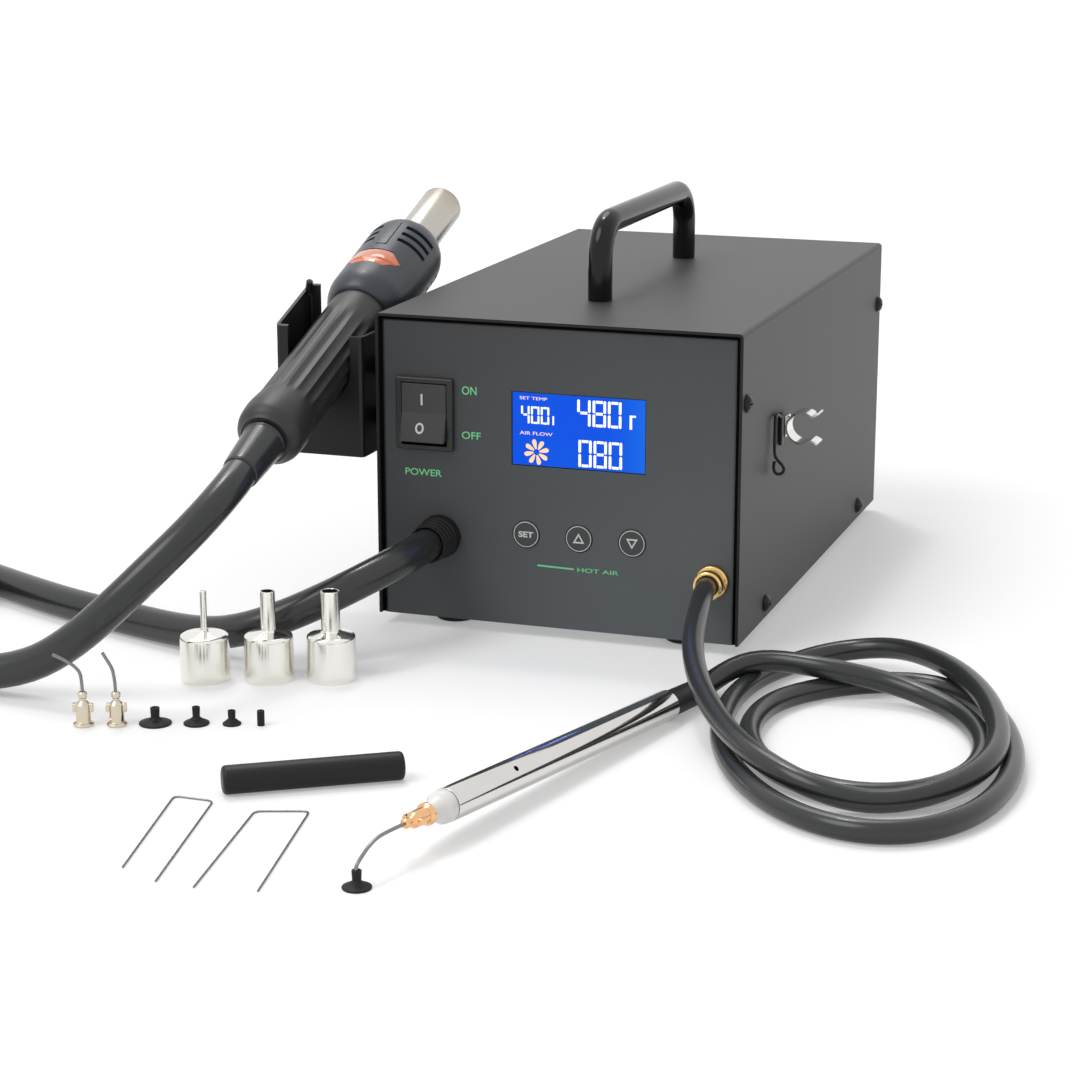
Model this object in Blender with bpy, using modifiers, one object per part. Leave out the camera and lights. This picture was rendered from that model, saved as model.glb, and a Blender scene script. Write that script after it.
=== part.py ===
"""Rework soldering station: a hot-air handpiece in its side holder, a vacuum pick-up pen on its hose,
a steel case with switch, display, keys and carry handle, and the loose nozzles, needles and cups.
Units are metres, +Z is up and -Y is the front. The origin is under the middle of the station's pieces.
Most pieces are placed in the station's own frame, whose origin is on the bench under the case."""

import math

import bmesh
import bpy
from mathutils import Euler, Vector

# Place of the case's centre, from the origin
STATION_X = 0.02462
STATION_Y = 0.148540

# Clearances and stock
GAP = 0.0003
SHEET = 0.0012
EDGE_ROUND = 0.0004

# Case
CASE_WIDTH = 0.160
CASE_HEIGHT = 0.131
CASE_DEPTH = 0.270
COVER_BEND = 0.0016
PANEL_RECESS = 0.0015
PANEL_BEND = 0.0022
PANEL_RETURN = 0.012
TRAY_FLANGE = 0.014

# Feet
FOOT_RADIUS = 0.0095
FOOT_HEIGHT = 0.005
FOOT_SIDE_INSET = 0.028
FOOT_FRONT_INSET = 0.020
FOOT_REAR_INSET = 0.040

# Cover screws, the same on both sides
SCREW_RADIUS = 0.0015
SCREW_HEAD_RADIUS = 0.0038
SCREW_HEAD_HEIGHT = 0.0022
SCREW_LENGTH = 0.0062
UPPER_SCREW_INSET = 0.0065
UPPER_SCREW_Z = 0.1065
LOWER_SCREW_FRONT_INSET = 0.0454
LOWER_SCREW_REAR_INSET = 0.040
LOWER_SCREW_RISE = 0.0065

# Carry handle
HANDLE_FRONT_Y = -0.074
HANDLE_REAR_Y = 0.0575
HANDLE_RISE = 0.042
HANDLE_ROD_RADIUS = 0.0053
HANDLE_CORNER = 0.015

# Power switch
SWITCH_INSET = 0.022
SWITCH_Z = 0.094
BEZEL_WIDTH = 0.0255
BEZEL_HEIGHT = 0.031
BEZEL_THICKNESS = 0.002
SWITCH_WALL = 0.0013
SWITCH_DEPTH = 0.018
ROCKER_WIDTH = 0.0200
ROCKER_HEIGHT = 0.0250
ROCKER_TILT = math.radians(7.0)
ROCKER_PROUD = 0.0006
PIVOT_DEPTH = 0.0025
PIVOT_PIN_RADIUS = 0.0014

# Display and keys
LCD_X = 0.0097
LCD_Z = 0.0904
LCD_WIDTH = 0.058
LCD_HEIGHT = 0.031
LCD_SINK = 0.0005
BOARD_THICKNESS = 0.0016
DISPLAY_BOARD_SPACING = 0.011
KEY_RADIUS = 0.0059
KEY_FLANGE_RADIUS = 0.0072
KEY_PROUD = 0.0004
KEY_TRAVEL = 0.0005
KEY_Z = 0.045
KEY_PITCH = 0.02335
KEY_MIDDLE_X = 0.0102

# Hose fittings on the front panel
HOT_HOSE_RADIUS = 0.0070
GLAND_INSET = 0.028
GLAND_Z = 0.041
GLAND_NECK_RADIUS = 0.0080
GLAND_LENGTH = 0.016
GLAND_GRIP = 0.006
GLAND_WALL = 0.0013
GLAND_TAPER = 0.0003
GLAND_RIBS = 4
GLAND_NUT_RADIUS = 0.0110
VACUUM_HOSE_RADIUS = 0.0043
FITTING_INSET = 0.0115
FITTING_Z = 0.032
FITTING_NECK_RADIUS = 0.0046
FITTING_LENGTH = 0.010
FITTING_GRIP = 0.003

# Mains inlet and vents at the rear
INLET_INSET = 0.035
INLET_Z = 0.034
INLET_WIDTH = 0.0270
INLET_HEIGHT = 0.0198
INLET_FLANGE = 0.0022
INLET_DEPTH = 0.024
INLET_RIM = 0.0018
VENT_WIDTH = 0.003
VENT_HEIGHT = 0.030
VENT_PITCH = 0.007
VENT_COUNT = 9
VENT_X = 0.024
VENT_Z = 0.088

# Pump and main board on the base tray
PUMP_WIDTH = 0.060
PUMP_DEPTH = 0.092
PUMP_HEIGHT = 0.050
PUMP_INSET = 0.046
PUMP_Y = 0.010
PUMP_FOOT = 0.007
MAIN_BOARD_WIDTH = 0.058
MAIN_BOARD_DEPTH = 0.130
MAIN_BOARD_INSET = 0.039
MAIN_BOARD_Y = 0.005
MAIN_BOARD_RISE = 0.009

# Hot-air handpiece, measured along its axis from its tail
HANDPIECE_Y = -0.191
HANDPIECE_Z = 0.091
HANDPIECE_SLOPE = math.radians(19.3)
GRIP_LENGTH = 0.097
GRIP_RADIUS = 0.0135
TAIL_RADIUS = 0.0146
FLUTE_COUNT = 12
FLUTE_DEPTH = 0.0009
HEAD_RADIUS = 0.0200
HEAD_LENGTH = 0.090
HEAD_WALL = 0.0024
SHOULDER_LENGTH = 0.014
PIPE_RADIUS = 0.0097
PIPE_WALL = 0.0006
PIPE_LENGTH = 0.064
PIPE_STICKOUT = 0.027
CORE_LENGTH = 0.052
CORE_RECESS = 0.010
CORE_HOLE_RADIUS = 0.0016
CORE_HOLE_CIRCLE = 0.0052
CORE_HOLES = 6
BOOT_LENGTH = 0.026
BOOT_RADIUS = 0.0105
BOOT_TIP_RADIUS = 0.0082
SLOT_WIDTH = 0.0026
SLOT_PITCH = 0.0058
SLOT_COUNT = 3
FIRST_SLOT = 0.069
LENS_START = 0.041
LENS_LENGTH = 0.013
LENS_WIDTH = 0.034

# Holder on the left side
HOLDER_SHEET = 0.0015
HOLDER_WIDTH = 0.040
HOLDER_FRONT_Y = -0.135
HOLDER_BOTTOM = 0.073
HOLDER_OFFSET = 0.006
HOLDER_TOP_OFFSET = 0.0174
HOLDER_RIGHT_TOP = 0.125
HOLDER_BEND = 0.0018
CRADLE_CLEARANCE = 0.0008
STANDOFF_RADIUS = 0.004
STANDOFF_PITCH = 0.022

# Clip and hook for the pen on the right side
CLIP_Y = -0.064
CLIP_Z = 0.0845
CLIP_STRIP = 0.0008
CLIP_WIDTH = 0.010
CLIP_OPENING = math.radians(52.0)
CLIP_PLATE = 0.0015
HOOK_WIRE_RADIUS = 0.0011

# Vacuum pen, resting on its tail end and on its suction cup
PEN_RADIUS = 0.0060
PEN_WALL = 0.0008
PEN_LENGTH = 0.1593
PEN_TAIL_X = 0.0773
PEN_TAIL_Y = -0.2122
PEN_HEADING = math.radians(-13.7)
PEN_TILT = math.radians(2.33)
PEN_NOSE_LENGTH = 0.0105
PEN_COLLAR_LENGTH = 0.016
PEN_COLLAR_RADIUS = 0.0050
PEN_VENT_RADIUS = 0.0011
PEN_VENT_PLACE = 0.0370
PEN_CUP_REACH = 0.0505

# Vacuum hose coil in front of the case
COIL_X = 0.153
COIL_Y = -0.226
COIL_TURN = math.radians(15.7)
COIL_OUTER_A = 0.058
COIL_OUTER_B = 0.106
COIL_BAND_A = 0.019
COIL_BAND_B = 0.036

# Hot-air hose coil at the left
HOT_COIL_X = -0.331
HOT_COIL_Y = -0.200
HOT_COIL_RADIUS = 0.075

# Nozzles, bottom to top
NOZZLE_WALL = 0.0008
NOZZLE_BASE_HEIGHT = 0.020
NOZZLE_HEIGHT = 0.045
NOZZLE_PLACES = ((-0.1165, -0.2308), (-0.0921, -0.2224), (-0.0683, -0.2142))
NOZZLE_BORES = (0.0009, 0.0024, 0.0032)

# Bent needles
NEEDLE_RADIUS = 0.00065
HUB_RADIUS = 0.0040
HUB_HEIGHT = 0.0135
HUB_BORE_RADIUS = 0.0021
HUB_BORE_DEPTH = 0.0060

# Suction cups, the sleeve and the pen's tip
SLEEVE_RADIUS = 0.00145
SLEEVE_HEIGHT = 0.0060
PEN_CUP_HEIGHT = 0.0063
PEN_CUP_SOCKET = 0.0025

# Black rod and lifting wires
ROD_RADIUS = 0.00525
ROD_LENGTH = 0.0656
LIFT_WIRE_RADIUS = 0.0005

# What follows from the dimensions
CASE_BOTTOM = FOOT_HEIGHT
CASE_TOP = CASE_BOTTOM + CASE_HEIGHT
SIDE_X = CASE_WIDTH / 2
END_Y = CASE_DEPTH / 2
PANEL_Y = END_Y - PANEL_RECESS
PANEL_BACK_Y = PANEL_Y - SHEET
TRAY_TOP = CASE_BOTTOM + SHEET
HEAD_START = GRIP_LENGTH + GAP
HEAD_END = GRIP_LENGTH + HEAD_LENGTH
PIPE_END = HEAD_END + PIPE_STICKOUT
NOZZLE_INNER_RADIUS = PIPE_RADIUS + 0.0002
FOOT_X = SIDE_X - FOOT_SIDE_INSET
SWITCH_X = -SIDE_X + SWITCH_INSET
GLAND_X = -SIDE_X + GLAND_INSET
FITTING_X = SIDE_X - FITTING_INSET
INLET_X = -SIDE_X + INLET_INSET
PUMP_X = SIDE_X - PUMP_INSET
MAIN_BOARD_X = -SIDE_X + MAIN_BOARD_INSET
HANDPIECE_X = -SIDE_X - HOLDER_OFFSET - HOLDER_WIDTH / 2

TO_FRONT = (math.radians(90.0), 0.0, 0.0)
TO_REAR = (math.radians(-90.0), 0.0, 0.0)
TO_RIGHT = (0.0, math.radians(90.0), 0.0)
TO_LEFT = (0.0, math.radians(-90.0), 0.0)


def clear_objects():
    for item in list(bpy.data.objects):
        bpy.data.objects.remove(item, do_unlink=True)


def new_collection(name):
    group = bpy.data.collections.new(name)
    bpy.context.scene.collection.children.link(group)
    return group


clear_objects()
PARTS = new_collection("rework_station")
CUTTERS = new_collection("cutters")


def new_frame(name, location, rotation=(0.0, 0.0, 0.0), parent=None):
    frame = bpy.data.objects.new(name, None)
    PARTS.objects.link(frame)
    frame.parent = parent
    frame.location = location
    frame.rotation_euler = rotation
    return frame


STATION = new_frame("station_frame", (STATION_X, STATION_Y, 0.0))


def material(name, colour, roughness, metallic=0.0):
    """One Principled material, made once and shared by the pieces that have the finish."""
    found = bpy.data.materials.get(name)
    if found:
        return found
    made = bpy.data.materials.new(name)
    made.use_nodes = True
    shader = made.node_tree.nodes["Principled BSDF"]
    shader.inputs["Base Color"].default_value = (*colour, 1.0)
    shader.inputs["Roughness"].default_value = roughness
    shader.inputs["Metallic"].default_value = metallic
    return made


def powder_coat():
    return material("charcoal_powder_coat", (0.045, 0.046, 0.048), 0.45)


def panel_paint():
    return material("panel_paint", (0.055, 0.057, 0.062), 0.5)


def zinc_steel():
    return material("zinc_steel", (0.55, 0.56, 0.57), 0.35, 1.0)


def black_gloss():
    return material("black_gloss", (0.008, 0.008, 0.009), 0.15)


def black_plastic():
    return material("black_plastic", (0.012, 0.012, 0.013), 0.4)


def black_steel():
    return material("black_steel", (0.02, 0.02, 0.021), 0.4)


def black_rubber():
    return material("black_rubber", (0.015, 0.015, 0.016), 0.6)


def hose_rubber():
    return material("hose_rubber", (0.03, 0.031, 0.034), 0.4)


def grip_plastic():
    return material("grip_plastic", (0.03, 0.031, 0.034), 0.45)


def head_plastic():
    return material("head_plastic", (0.035, 0.042, 0.055), 0.4)


def bright_steel():
    return material("bright_steel", (0.78, 0.77, 0.74), 0.15, 1.0)


def satin_steel():
    return material("satin_steel", (0.5, 0.48, 0.45), 0.3, 1.0)


def brass():
    return material("brass", (0.75, 0.52, 0.2), 0.25, 1.0)


def ceramic():
    return material("ceramic", (0.6, 0.56, 0.5), 0.7)


def orange_lens():
    return material("orange_lens", (0.75, 0.2, 0.05), 0.25)


def white_plastic():
    return material("white_plastic", (0.8, 0.8, 0.78), 0.4)


def circuit_board():
    return material("circuit_board", (0.03, 0.16, 0.07), 0.5)


def pump_casting():
    return material("pump_casting", (0.3, 0.31, 0.32), 0.45, 0.6)


def place(item, finish, location, rotation, parent):
    item.data.materials.append(finish)
    PARTS.objects.link(item)
    item.parent = parent
    item.location = location
    item.rotation_euler = rotation
    return item


def as_cutter(item):
    """Marks an object as a tool that shapes another piece and isn't a piece itself."""
    PARTS.objects.unlink(item)
    CUTTERS.objects.link(item)
    item.hide_render = True
    item.display_type = "WIRE"
    return item


def shade_round(mesh, angle=35.0):
    mesh.shade_smooth()
    mesh.set_sharp_from_angle(angle=math.radians(angle))


def add_bevel(item, width, segments=2):
    bevel = item.modifiers.new("rounded_edges", "BEVEL")
    bevel.width = width
    bevel.segments = segments
    bevel.limit_method = "ANGLE"
    return item


def add_solidify(item, thickness):
    solidify = item.modifiers.new("sheet", "SOLIDIFY")
    solidify.thickness = thickness
    solidify.offset = -1.0
    solidify.use_even_offset = True
    return item


def combine(item, tool, operation):
    boolean = item.modifiers.new(operation.lower(), "BOOLEAN")
    boolean.operation = operation
    boolean.object = as_cutter(tool)
    return item


def cut(item, tool):
    return combine(item, tool, "DIFFERENCE")


def join(item, tool):
    return combine(item, tool, "UNION")


def blocks(name, pieces, finish, parent=STATION, location=(0.0, 0.0, 0.0), rotation=(0.0, 0.0, 0.0)):
    """Rectangular blocks in one mesh, each given by its size and centre."""
    mesh = bpy.data.meshes.new(name)
    form = bmesh.new()
    for size, centre in pieces:
        made = bmesh.ops.create_cube(form, size=1.0)
        bmesh.ops.scale(form, vec=Vector(size), verts=made["verts"])
        bmesh.ops.translate(form, vec=Vector(centre), verts=made["verts"])
    form.to_mesh(mesh)
    form.free()
    return place(bpy.data.objects.new(name, mesh), finish, location, rotation, parent)


def cylinders(name, pieces, finish, parent=STATION, location=(0.0, 0.0, 0.0), rotation=(0.0, 0.0, 0.0),
              sides=16):
    """Cylinders along local Z in one mesh, each given by its radius, height and centre."""
    mesh = bpy.data.meshes.new(name)
    form = bmesh.new()
    for radius, height, centre in pieces:
        made = bmesh.ops.create_cone(form, cap_ends=True, segments=sides, radius1=radius, radius2=radius,
                                     depth=height)
        bmesh.ops.translate(form, vec=Vector(centre), verts=made["verts"])
    form.to_mesh(mesh)
    form.free()
    shade_round(mesh)
    return place(bpy.data.objects.new(name, mesh), finish, location, rotation, parent)


def folded_sheet(name, size, centre, open_sides, bend, thickness, finish):
    """A box of thin sheet with some sides left open and its bends rounded, thickened inwards."""
    mesh = bpy.data.meshes.new(name)
    form = bmesh.new()
    bmesh.ops.create_cube(form, size=1.0)
    bmesh.ops.scale(form, vec=Vector(size), verts=form.verts)
    removed = [face for face in form.faces
               if any(face.normal.dot(Vector(side)) > 0.9 for side in open_sides)]
    bmesh.ops.delete(form, geom=removed, context="FACES")
    form.to_mesh(mesh)
    form.free()
    item = place(bpy.data.objects.new(name, mesh), finish, centre, (0.0, 0.0, 0.0), STATION)
    add_bevel(item, bend)
    add_solidify(item, thickness)
    return item


def turned(name, profile, finish, parent=STATION, location=(0.0, 0.0, 0.0), rotation=(0.0, 0.0, 0.0),
           steps=24):
    """A turned solid about local Z. The profile's (radius, height) points run down the outer side."""
    mesh = bpy.data.meshes.new(name)
    points = [(radius, 0.0, height) for radius, height in profile]
    edges = [(index, index + 1) for index in range(len(points) - 1)]
    if profile[0][0] > 0.0 or profile[-1][0] > 0.0:
        edges.append((len(points) - 1, 0))
    mesh.from_pydata(points, edges, [])
    item = place(bpy.data.objects.new(name, mesh), finish, location, rotation, parent)
    screw = item.modifiers.new("turn", "SCREW")
    screw.steps = steps
    screw.render_steps = steps
    screw.use_merge_vertices = True
    screw.merge_threshold = 0.00001
    return item


def bent_rod(name, points, radius, finish, parent=STATION, location=(0.0, 0.0, 0.0), roundness=2):
    """A round rod or hose along the points, with flat ends."""
    curve = bpy.data.curves.new(name, "CURVE")
    curve.dimensions = "3D"
    curve.bevel_depth = radius
    curve.bevel_resolution = roundness
    curve.use_fill_caps = True
    spline = curve.splines.new("POLY")
    spline.points.add(len(points) - 1)
    for target, point in zip(spline.points, points):
        target.co = (*point, 1.0)
    return place(bpy.data.objects.new(name, curve), finish, location, (0.0, 0.0, 0.0), parent)


def flat_plate(name, outlines, thickness, finish, parent=STATION, location=(0.0, 0.0, 0.0),
               rotation=(0.0, 0.0, 0.0)):
    """A plate with the outline of the first ring of points and a hole for each further ring."""
    curve = bpy.data.curves.new(name, "CURVE")
    curve.dimensions = "2D"
    curve.fill_mode = "BOTH"
    curve.extrude = thickness / 2
    for outline in outlines:
        spline = curve.splines.new("POLY")
        spline.use_cyclic_u = True
        spline.points.add(len(outline) - 1)
        for target, point in zip(spline.points, outline):
            target.co = (point[0], point[1], 0.0, 1.0)
    return place(bpy.data.objects.new(name, curve), finish, location, rotation, parent)


def as_mesh(item):
    """Turns a curve object into a welded mesh object of the same name and place."""
    bpy.context.view_layer.update()
    shape = item.evaluated_get(bpy.context.evaluated_depsgraph_get())
    mesh = bpy.data.meshes.new_from_object(shape)
    form = bmesh.new()
    form.from_mesh(mesh)
    bmesh.ops.remove_doubles(form, verts=form.verts, dist=0.000001)
    form.to_mesh(mesh)
    form.free()
    name = item.name
    solid = bpy.data.objects.new(name + "_solid", mesh)
    PARTS.objects.link(solid)
    solid.parent = item.parent
    solid.matrix_world = item.matrix_world.copy()
    bpy.data.objects.remove(item, do_unlink=True)
    solid.name = name
    return solid


def arc(centre, radius, start, end, count):
    """Points on an arc in a plane, from one angle to the other, both included."""
    angles = [start + (end - start) * index / (count - 1) for index in range(count)]
    return [(centre[0] + radius * math.cos(turn), centre[1] + radius * math.sin(turn)) for turn in angles]


def smooth_route(points, spacing):
    """Points along a Catmull-Rom curve through the route's own points."""
    knots = [Vector(point) for point in points]
    knots = [knots[0] * 2 - knots[1]] + knots + [knots[-1] * 2 - knots[-2]]
    route = []
    for first, start, end, last in zip(knots, knots[1:], knots[2:], knots[3:]):
        count = max(1, round((end - start).length / spacing))
        for index in range(count):
            t = index / count
            route.append(0.5 * (2 * start + (end - first) * t
                                + (2 * first - 5 * start + 4 * end - last) * t * t
                                + (3 * start - first - 3 * end + last) * t * t * t))
    route.append(knots[-2])
    return route


def mirrored(places):
    """The places and their mirror images across the station's middle plane."""
    return [(side, *spot) for side in (1, -1) for spot in places]


def screw_places():
    """Side, Y and Z of each cover screw."""
    upper = END_Y - UPPER_SCREW_INSET
    lower_z = CASE_BOTTOM + LOWER_SCREW_RISE
    lower_front, lower_rear = LOWER_SCREW_FRONT_INSET - END_Y, END_Y - LOWER_SCREW_REAR_INSET
    return mirrored([(-upper, UPPER_SCREW_Z), (upper, UPPER_SCREW_Z), (lower_front, lower_z),
                     (lower_rear, lower_z)])


def screw_hole_tool(name):
    """Cross bars through the case at the screws, for their holes in the sheets."""
    spots = {(y, z) for _, y, z in screw_places()}
    pieces = [(SCREW_RADIUS + GAP, CASE_WIDTH * 2, (-z, y, 0.0)) for y, z in sorted(spots)]
    return cylinders(name, pieces, zinc_steel(), rotation=TO_RIGHT, sides=8)


def make_cover():
    centre = (0.0, 0.0, CASE_BOTTOM + CASE_HEIGHT / 2)
    cover = folded_sheet("cover", (CASE_WIDTH, CASE_DEPTH, CASE_HEIGHT), centre,
                         ((0, 0, -1), (0, -1, 0), (0, 1, 0)), COVER_BEND, SHEET, powder_coat())
    cut(cover, screw_hole_tool("cover_screw_holes"))


def make_base_tray():
    width = CASE_WIDTH - 4 * (SHEET + GAP)
    depth = 2 * (PANEL_BACK_Y - GAP)
    centre = (0.0, 0.0, CASE_BOTTOM + TRAY_FLANGE / 2)
    tray = folded_sheet("base_tray", (width, depth, TRAY_FLANGE), centre, ((0, 0, 1),), PANEL_BEND / 2,
                        SHEET, zinc_steel())
    cut(tray, screw_hole_tool("tray_screw_holes"))


def make_panel_sheet(name, side):
    """A panel with its side and top returns, at the front (side -1) or the rear (side 1)."""
    width = CASE_WIDTH - 2 * (SHEET + GAP)
    height = CASE_HEIGHT - SHEET - GAP
    centre = (0.0, side * (PANEL_Y - PANEL_RETURN / 2), CASE_BOTTOM + height / 2)
    panel = folded_sheet(name, (width, PANEL_RETURN, height), centre, ((0, 0, -1), (0, -side, 0)),
                         PANEL_BEND, SHEET, panel_paint())
    cut(panel, screw_hole_tool(name + "_screw_holes"))
    return panel


def key_places():
    return [("key_set", KEY_MIDDLE_X - KEY_PITCH), ("key_up", KEY_MIDDLE_X),
            ("key_down", KEY_MIDDLE_X + KEY_PITCH)]


def switch_body_size():
    """Width and height of the switch's body behind its bezel, from the rocker that swings in it."""
    reach = math.hypot(ROCKER_HEIGHT / 2, rocker_end_height())
    corner = math.atan2(rocker_end_height(), ROCKER_HEIGHT / 2) - ROCKER_TILT
    cavity = 2 * (reach * math.cos(corner) + GAP)
    return ROCKER_WIDTH + 2 * (GAP + SWITCH_WALL), cavity + 2 * GAP, cavity


def rocker_face_height():
    """From the pivot to the middle of the rocker's face."""
    return PIVOT_DEPTH + BEZEL_THICKNESS + ROCKER_PROUD


def rocker_end_height():
    return rocker_face_height() + ROCKER_HEIGHT / 2 * math.tan(ROCKER_TILT)


def make_front_panel():
    panel = make_panel_sheet("front_panel", -1)
    depth = 4 * SHEET
    body_width, body_height, _ = switch_body_size()
    openings = [
        ((body_width + 2 * GAP, depth, body_height + 2 * GAP), (SWITCH_X, -PANEL_Y, SWITCH_Z)),
        ((LCD_WIDTH + 2 * GAP, depth, LCD_HEIGHT + 2 * GAP), (LCD_X, -PANEL_Y, LCD_Z)),
    ]
    cut(panel, blocks("front_openings", openings, panel_paint()))
    holes = [(KEY_RADIUS + GAP, depth, (x, KEY_Z, PANEL_Y)) for _, x in key_places()]
    holes.append((GLAND_NECK_RADIUS + GAP, depth, (GLAND_X, GLAND_Z, PANEL_Y)))
    holes.append((FITTING_NECK_RADIUS + GAP, depth, (FITTING_X, FITTING_Z, PANEL_Y)))
    cut(panel, cylinders("front_round_holes", holes, panel_paint(), rotation=TO_FRONT, sides=16))


def make_rear_panel():
    panel = make_panel_sheet("rear_panel", 1)
    depth = 4 * SHEET
    openings = [((INLET_WIDTH + 2 * GAP, depth, INLET_HEIGHT + 2 * GAP), (INLET_X, PANEL_Y, INLET_Z))]
    for index in range(VENT_COUNT):
        x = VENT_X + VENT_PITCH * (index - (VENT_COUNT - 1) / 2)
        openings.append(((VENT_WIDTH, depth, VENT_HEIGHT), (x, PANEL_Y, VENT_Z)))
    cut(panel, blocks("rear_openings", openings, panel_paint()))


def make_feet():
    rim = FOOT_RADIUS
    profile = [(0.0, -GAP), (rim - 0.0006, -GAP), (rim, -0.0012), (rim * 0.92, 0.0008 - FOOT_HEIGHT),
               (rim * 0.92 - 0.0008, -FOOT_HEIGHT), (rim * 0.35, -FOOT_HEIGHT),
               (rim * 0.35, 0.0016 - FOOT_HEIGHT), (0.0, 0.0016 - FOOT_HEIGHT)]
    for end, y in (("front", FOOT_FRONT_INSET - END_Y), ("rear", END_Y - FOOT_REAR_INSET)):
        for hand, x in (("left", -FOOT_X), ("right", FOOT_X)):
            turned("foot_" + end + "_" + hand, profile, black_rubber(), location=(x, y, CASE_BOTTOM),
                   steps=12)


def make_cover_screws():
    head = SCREW_HEAD_RADIUS
    profile = [(0.0, GAP + SCREW_HEAD_HEIGHT), (head * 0.5, GAP + SCREW_HEAD_HEIGHT * 0.92),
               (head * 0.85, GAP + SCREW_HEAD_HEIGHT * 0.6), (head, GAP + SCREW_HEAD_HEIGHT * 0.2),
               (head, GAP), (SCREW_RADIUS, GAP), (SCREW_RADIUS, -SCREW_LENGTH), (0.0, -SCREW_LENGTH)]
    for number, (side, y, z) in enumerate(screw_places(), 1):
        turned("cover_screw_" + str(number), profile, black_steel(), location=(side * SIDE_X, y, z),
               rotation=TO_RIGHT if side > 0 else TO_LEFT, steps=8)


def make_carry_handle():
    top = HANDLE_RISE - HANDLE_ROD_RADIUS - HANDLE_CORNER
    front = HANDLE_FRONT_Y + HANDLE_CORNER
    rear = HANDLE_REAR_Y - HANDLE_CORNER
    path = [(HANDLE_FRONT_Y, GAP)]
    path += arc((front, top), HANDLE_CORNER, math.pi, math.pi / 2, 6)
    path += arc((rear, top), HANDLE_CORNER, math.pi / 2, 0.0, 6)
    path += [(HANDLE_REAR_Y, GAP)]
    bent_rod("carry_handle", [(0.0, y, z) for y, z in path], HANDLE_ROD_RADIUS, black_gloss(),
             location=(0.0, 0.0, CASE_TOP))


def make_switch():
    body_width, body_height, cavity_height = switch_body_size()
    front = -PANEL_Y - GAP
    pivot_y = front - BEZEL_THICKNESS - ROCKER_PROUD + rocker_face_height()
    bezel_centre = (SWITCH_X, front - BEZEL_THICKNESS / 2, SWITCH_Z)
    housing = blocks("switch_housing", [((BEZEL_WIDTH, BEZEL_THICKNESS, BEZEL_HEIGHT), bezel_centre)],
                     black_plastic())
    add_bevel(housing, EDGE_ROUND, 1)
    body_front = front - BEZEL_THICKNESS / 2
    body_centre = (SWITCH_X, body_front + SWITCH_DEPTH / 2, SWITCH_Z)
    join(housing, blocks("switch_body", [((body_width, SWITCH_DEPTH, body_height), body_centre)],
                         black_plastic()))
    cavity_depth = SWITCH_DEPTH - SWITCH_WALL + BEZEL_THICKNESS
    cavity_centre = (SWITCH_X, body_front - BEZEL_THICKNESS + cavity_depth / 2, SWITCH_Z)
    cavity_size = (ROCKER_WIDTH + 2 * GAP, cavity_depth, cavity_height)
    cut(housing, blocks("switch_cavity", [(cavity_size, cavity_centre)], black_plastic()))
    pivot = (SWITCH_X, pivot_y, SWITCH_Z)
    cut(housing, cylinders("switch_pivot_holes", [(PIVOT_PIN_RADIUS + GAP, BEZEL_WIDTH * 2, (0, 0, 0))],
                           black_plastic(), location=pivot, rotation=TO_RIGHT, sides=16))
    make_rocker(pivot)


def make_rocker(pivot):
    """The rocker turns about its pins. At rest its upper half is pressed in."""
    half = ROCKER_HEIGHT / 2
    end = rocker_end_height()
    outline = [(-half, end), (0.0, rocker_face_height()), (half, end), (half * 0.88, -0.001),
               (half * 0.35, -0.0045), (-half * 0.35, -0.0045), (-half * 0.88, -0.001)]
    hinge = new_frame("rocker_pivot", pivot, (-ROCKER_TILT, 0.0, 0.0), STATION)
    plate = flat_plate("switch_rocker", [outline], ROCKER_WIDTH, black_plastic(), parent=hinge,
                       rotation=(0.0, math.radians(-90.0), math.radians(180.0)))
    rocker = as_mesh(plate)
    add_bevel(rocker, EDGE_ROUND, 1)
    pin_length = ROCKER_WIDTH + 2 * (GAP + SWITCH_WALL * 0.7)
    join(rocker, cylinders("rocker_pins", [(PIVOT_PIN_RADIUS, pin_length, (0, 0, 0))], black_plastic(),
                           parent=hinge, rotation=TO_RIGHT, sides=16))


def make_keys():
    """Round key caps with a flange behind the panel and a stem that meets the switch behind."""
    outer = PANEL_Y + KEY_PROUD
    flange_front = PANEL_BACK_Y - GAP
    stem_end = display_board_front() + 0.0035
    profile = [(0.0, outer), (KEY_RADIUS - 0.0004, outer), (KEY_RADIUS, outer - 0.0004),
               (KEY_RADIUS, flange_front), (KEY_FLANGE_RADIUS, flange_front),
               (KEY_FLANGE_RADIUS, flange_front - 0.001), (0.0022, flange_front - 0.001),
               (0.0022, stem_end), (0.0, stem_end)]
    for name, x in key_places():
        turned(name, profile, panel_paint(), location=(x, 0.0, KEY_Z), rotation=TO_FRONT, steps=12)


def display_board_front():
    """Distance of the display board's front face from the station's middle plane."""
    return PANEL_BACK_Y - DISPLAY_BOARD_SPACING


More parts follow.
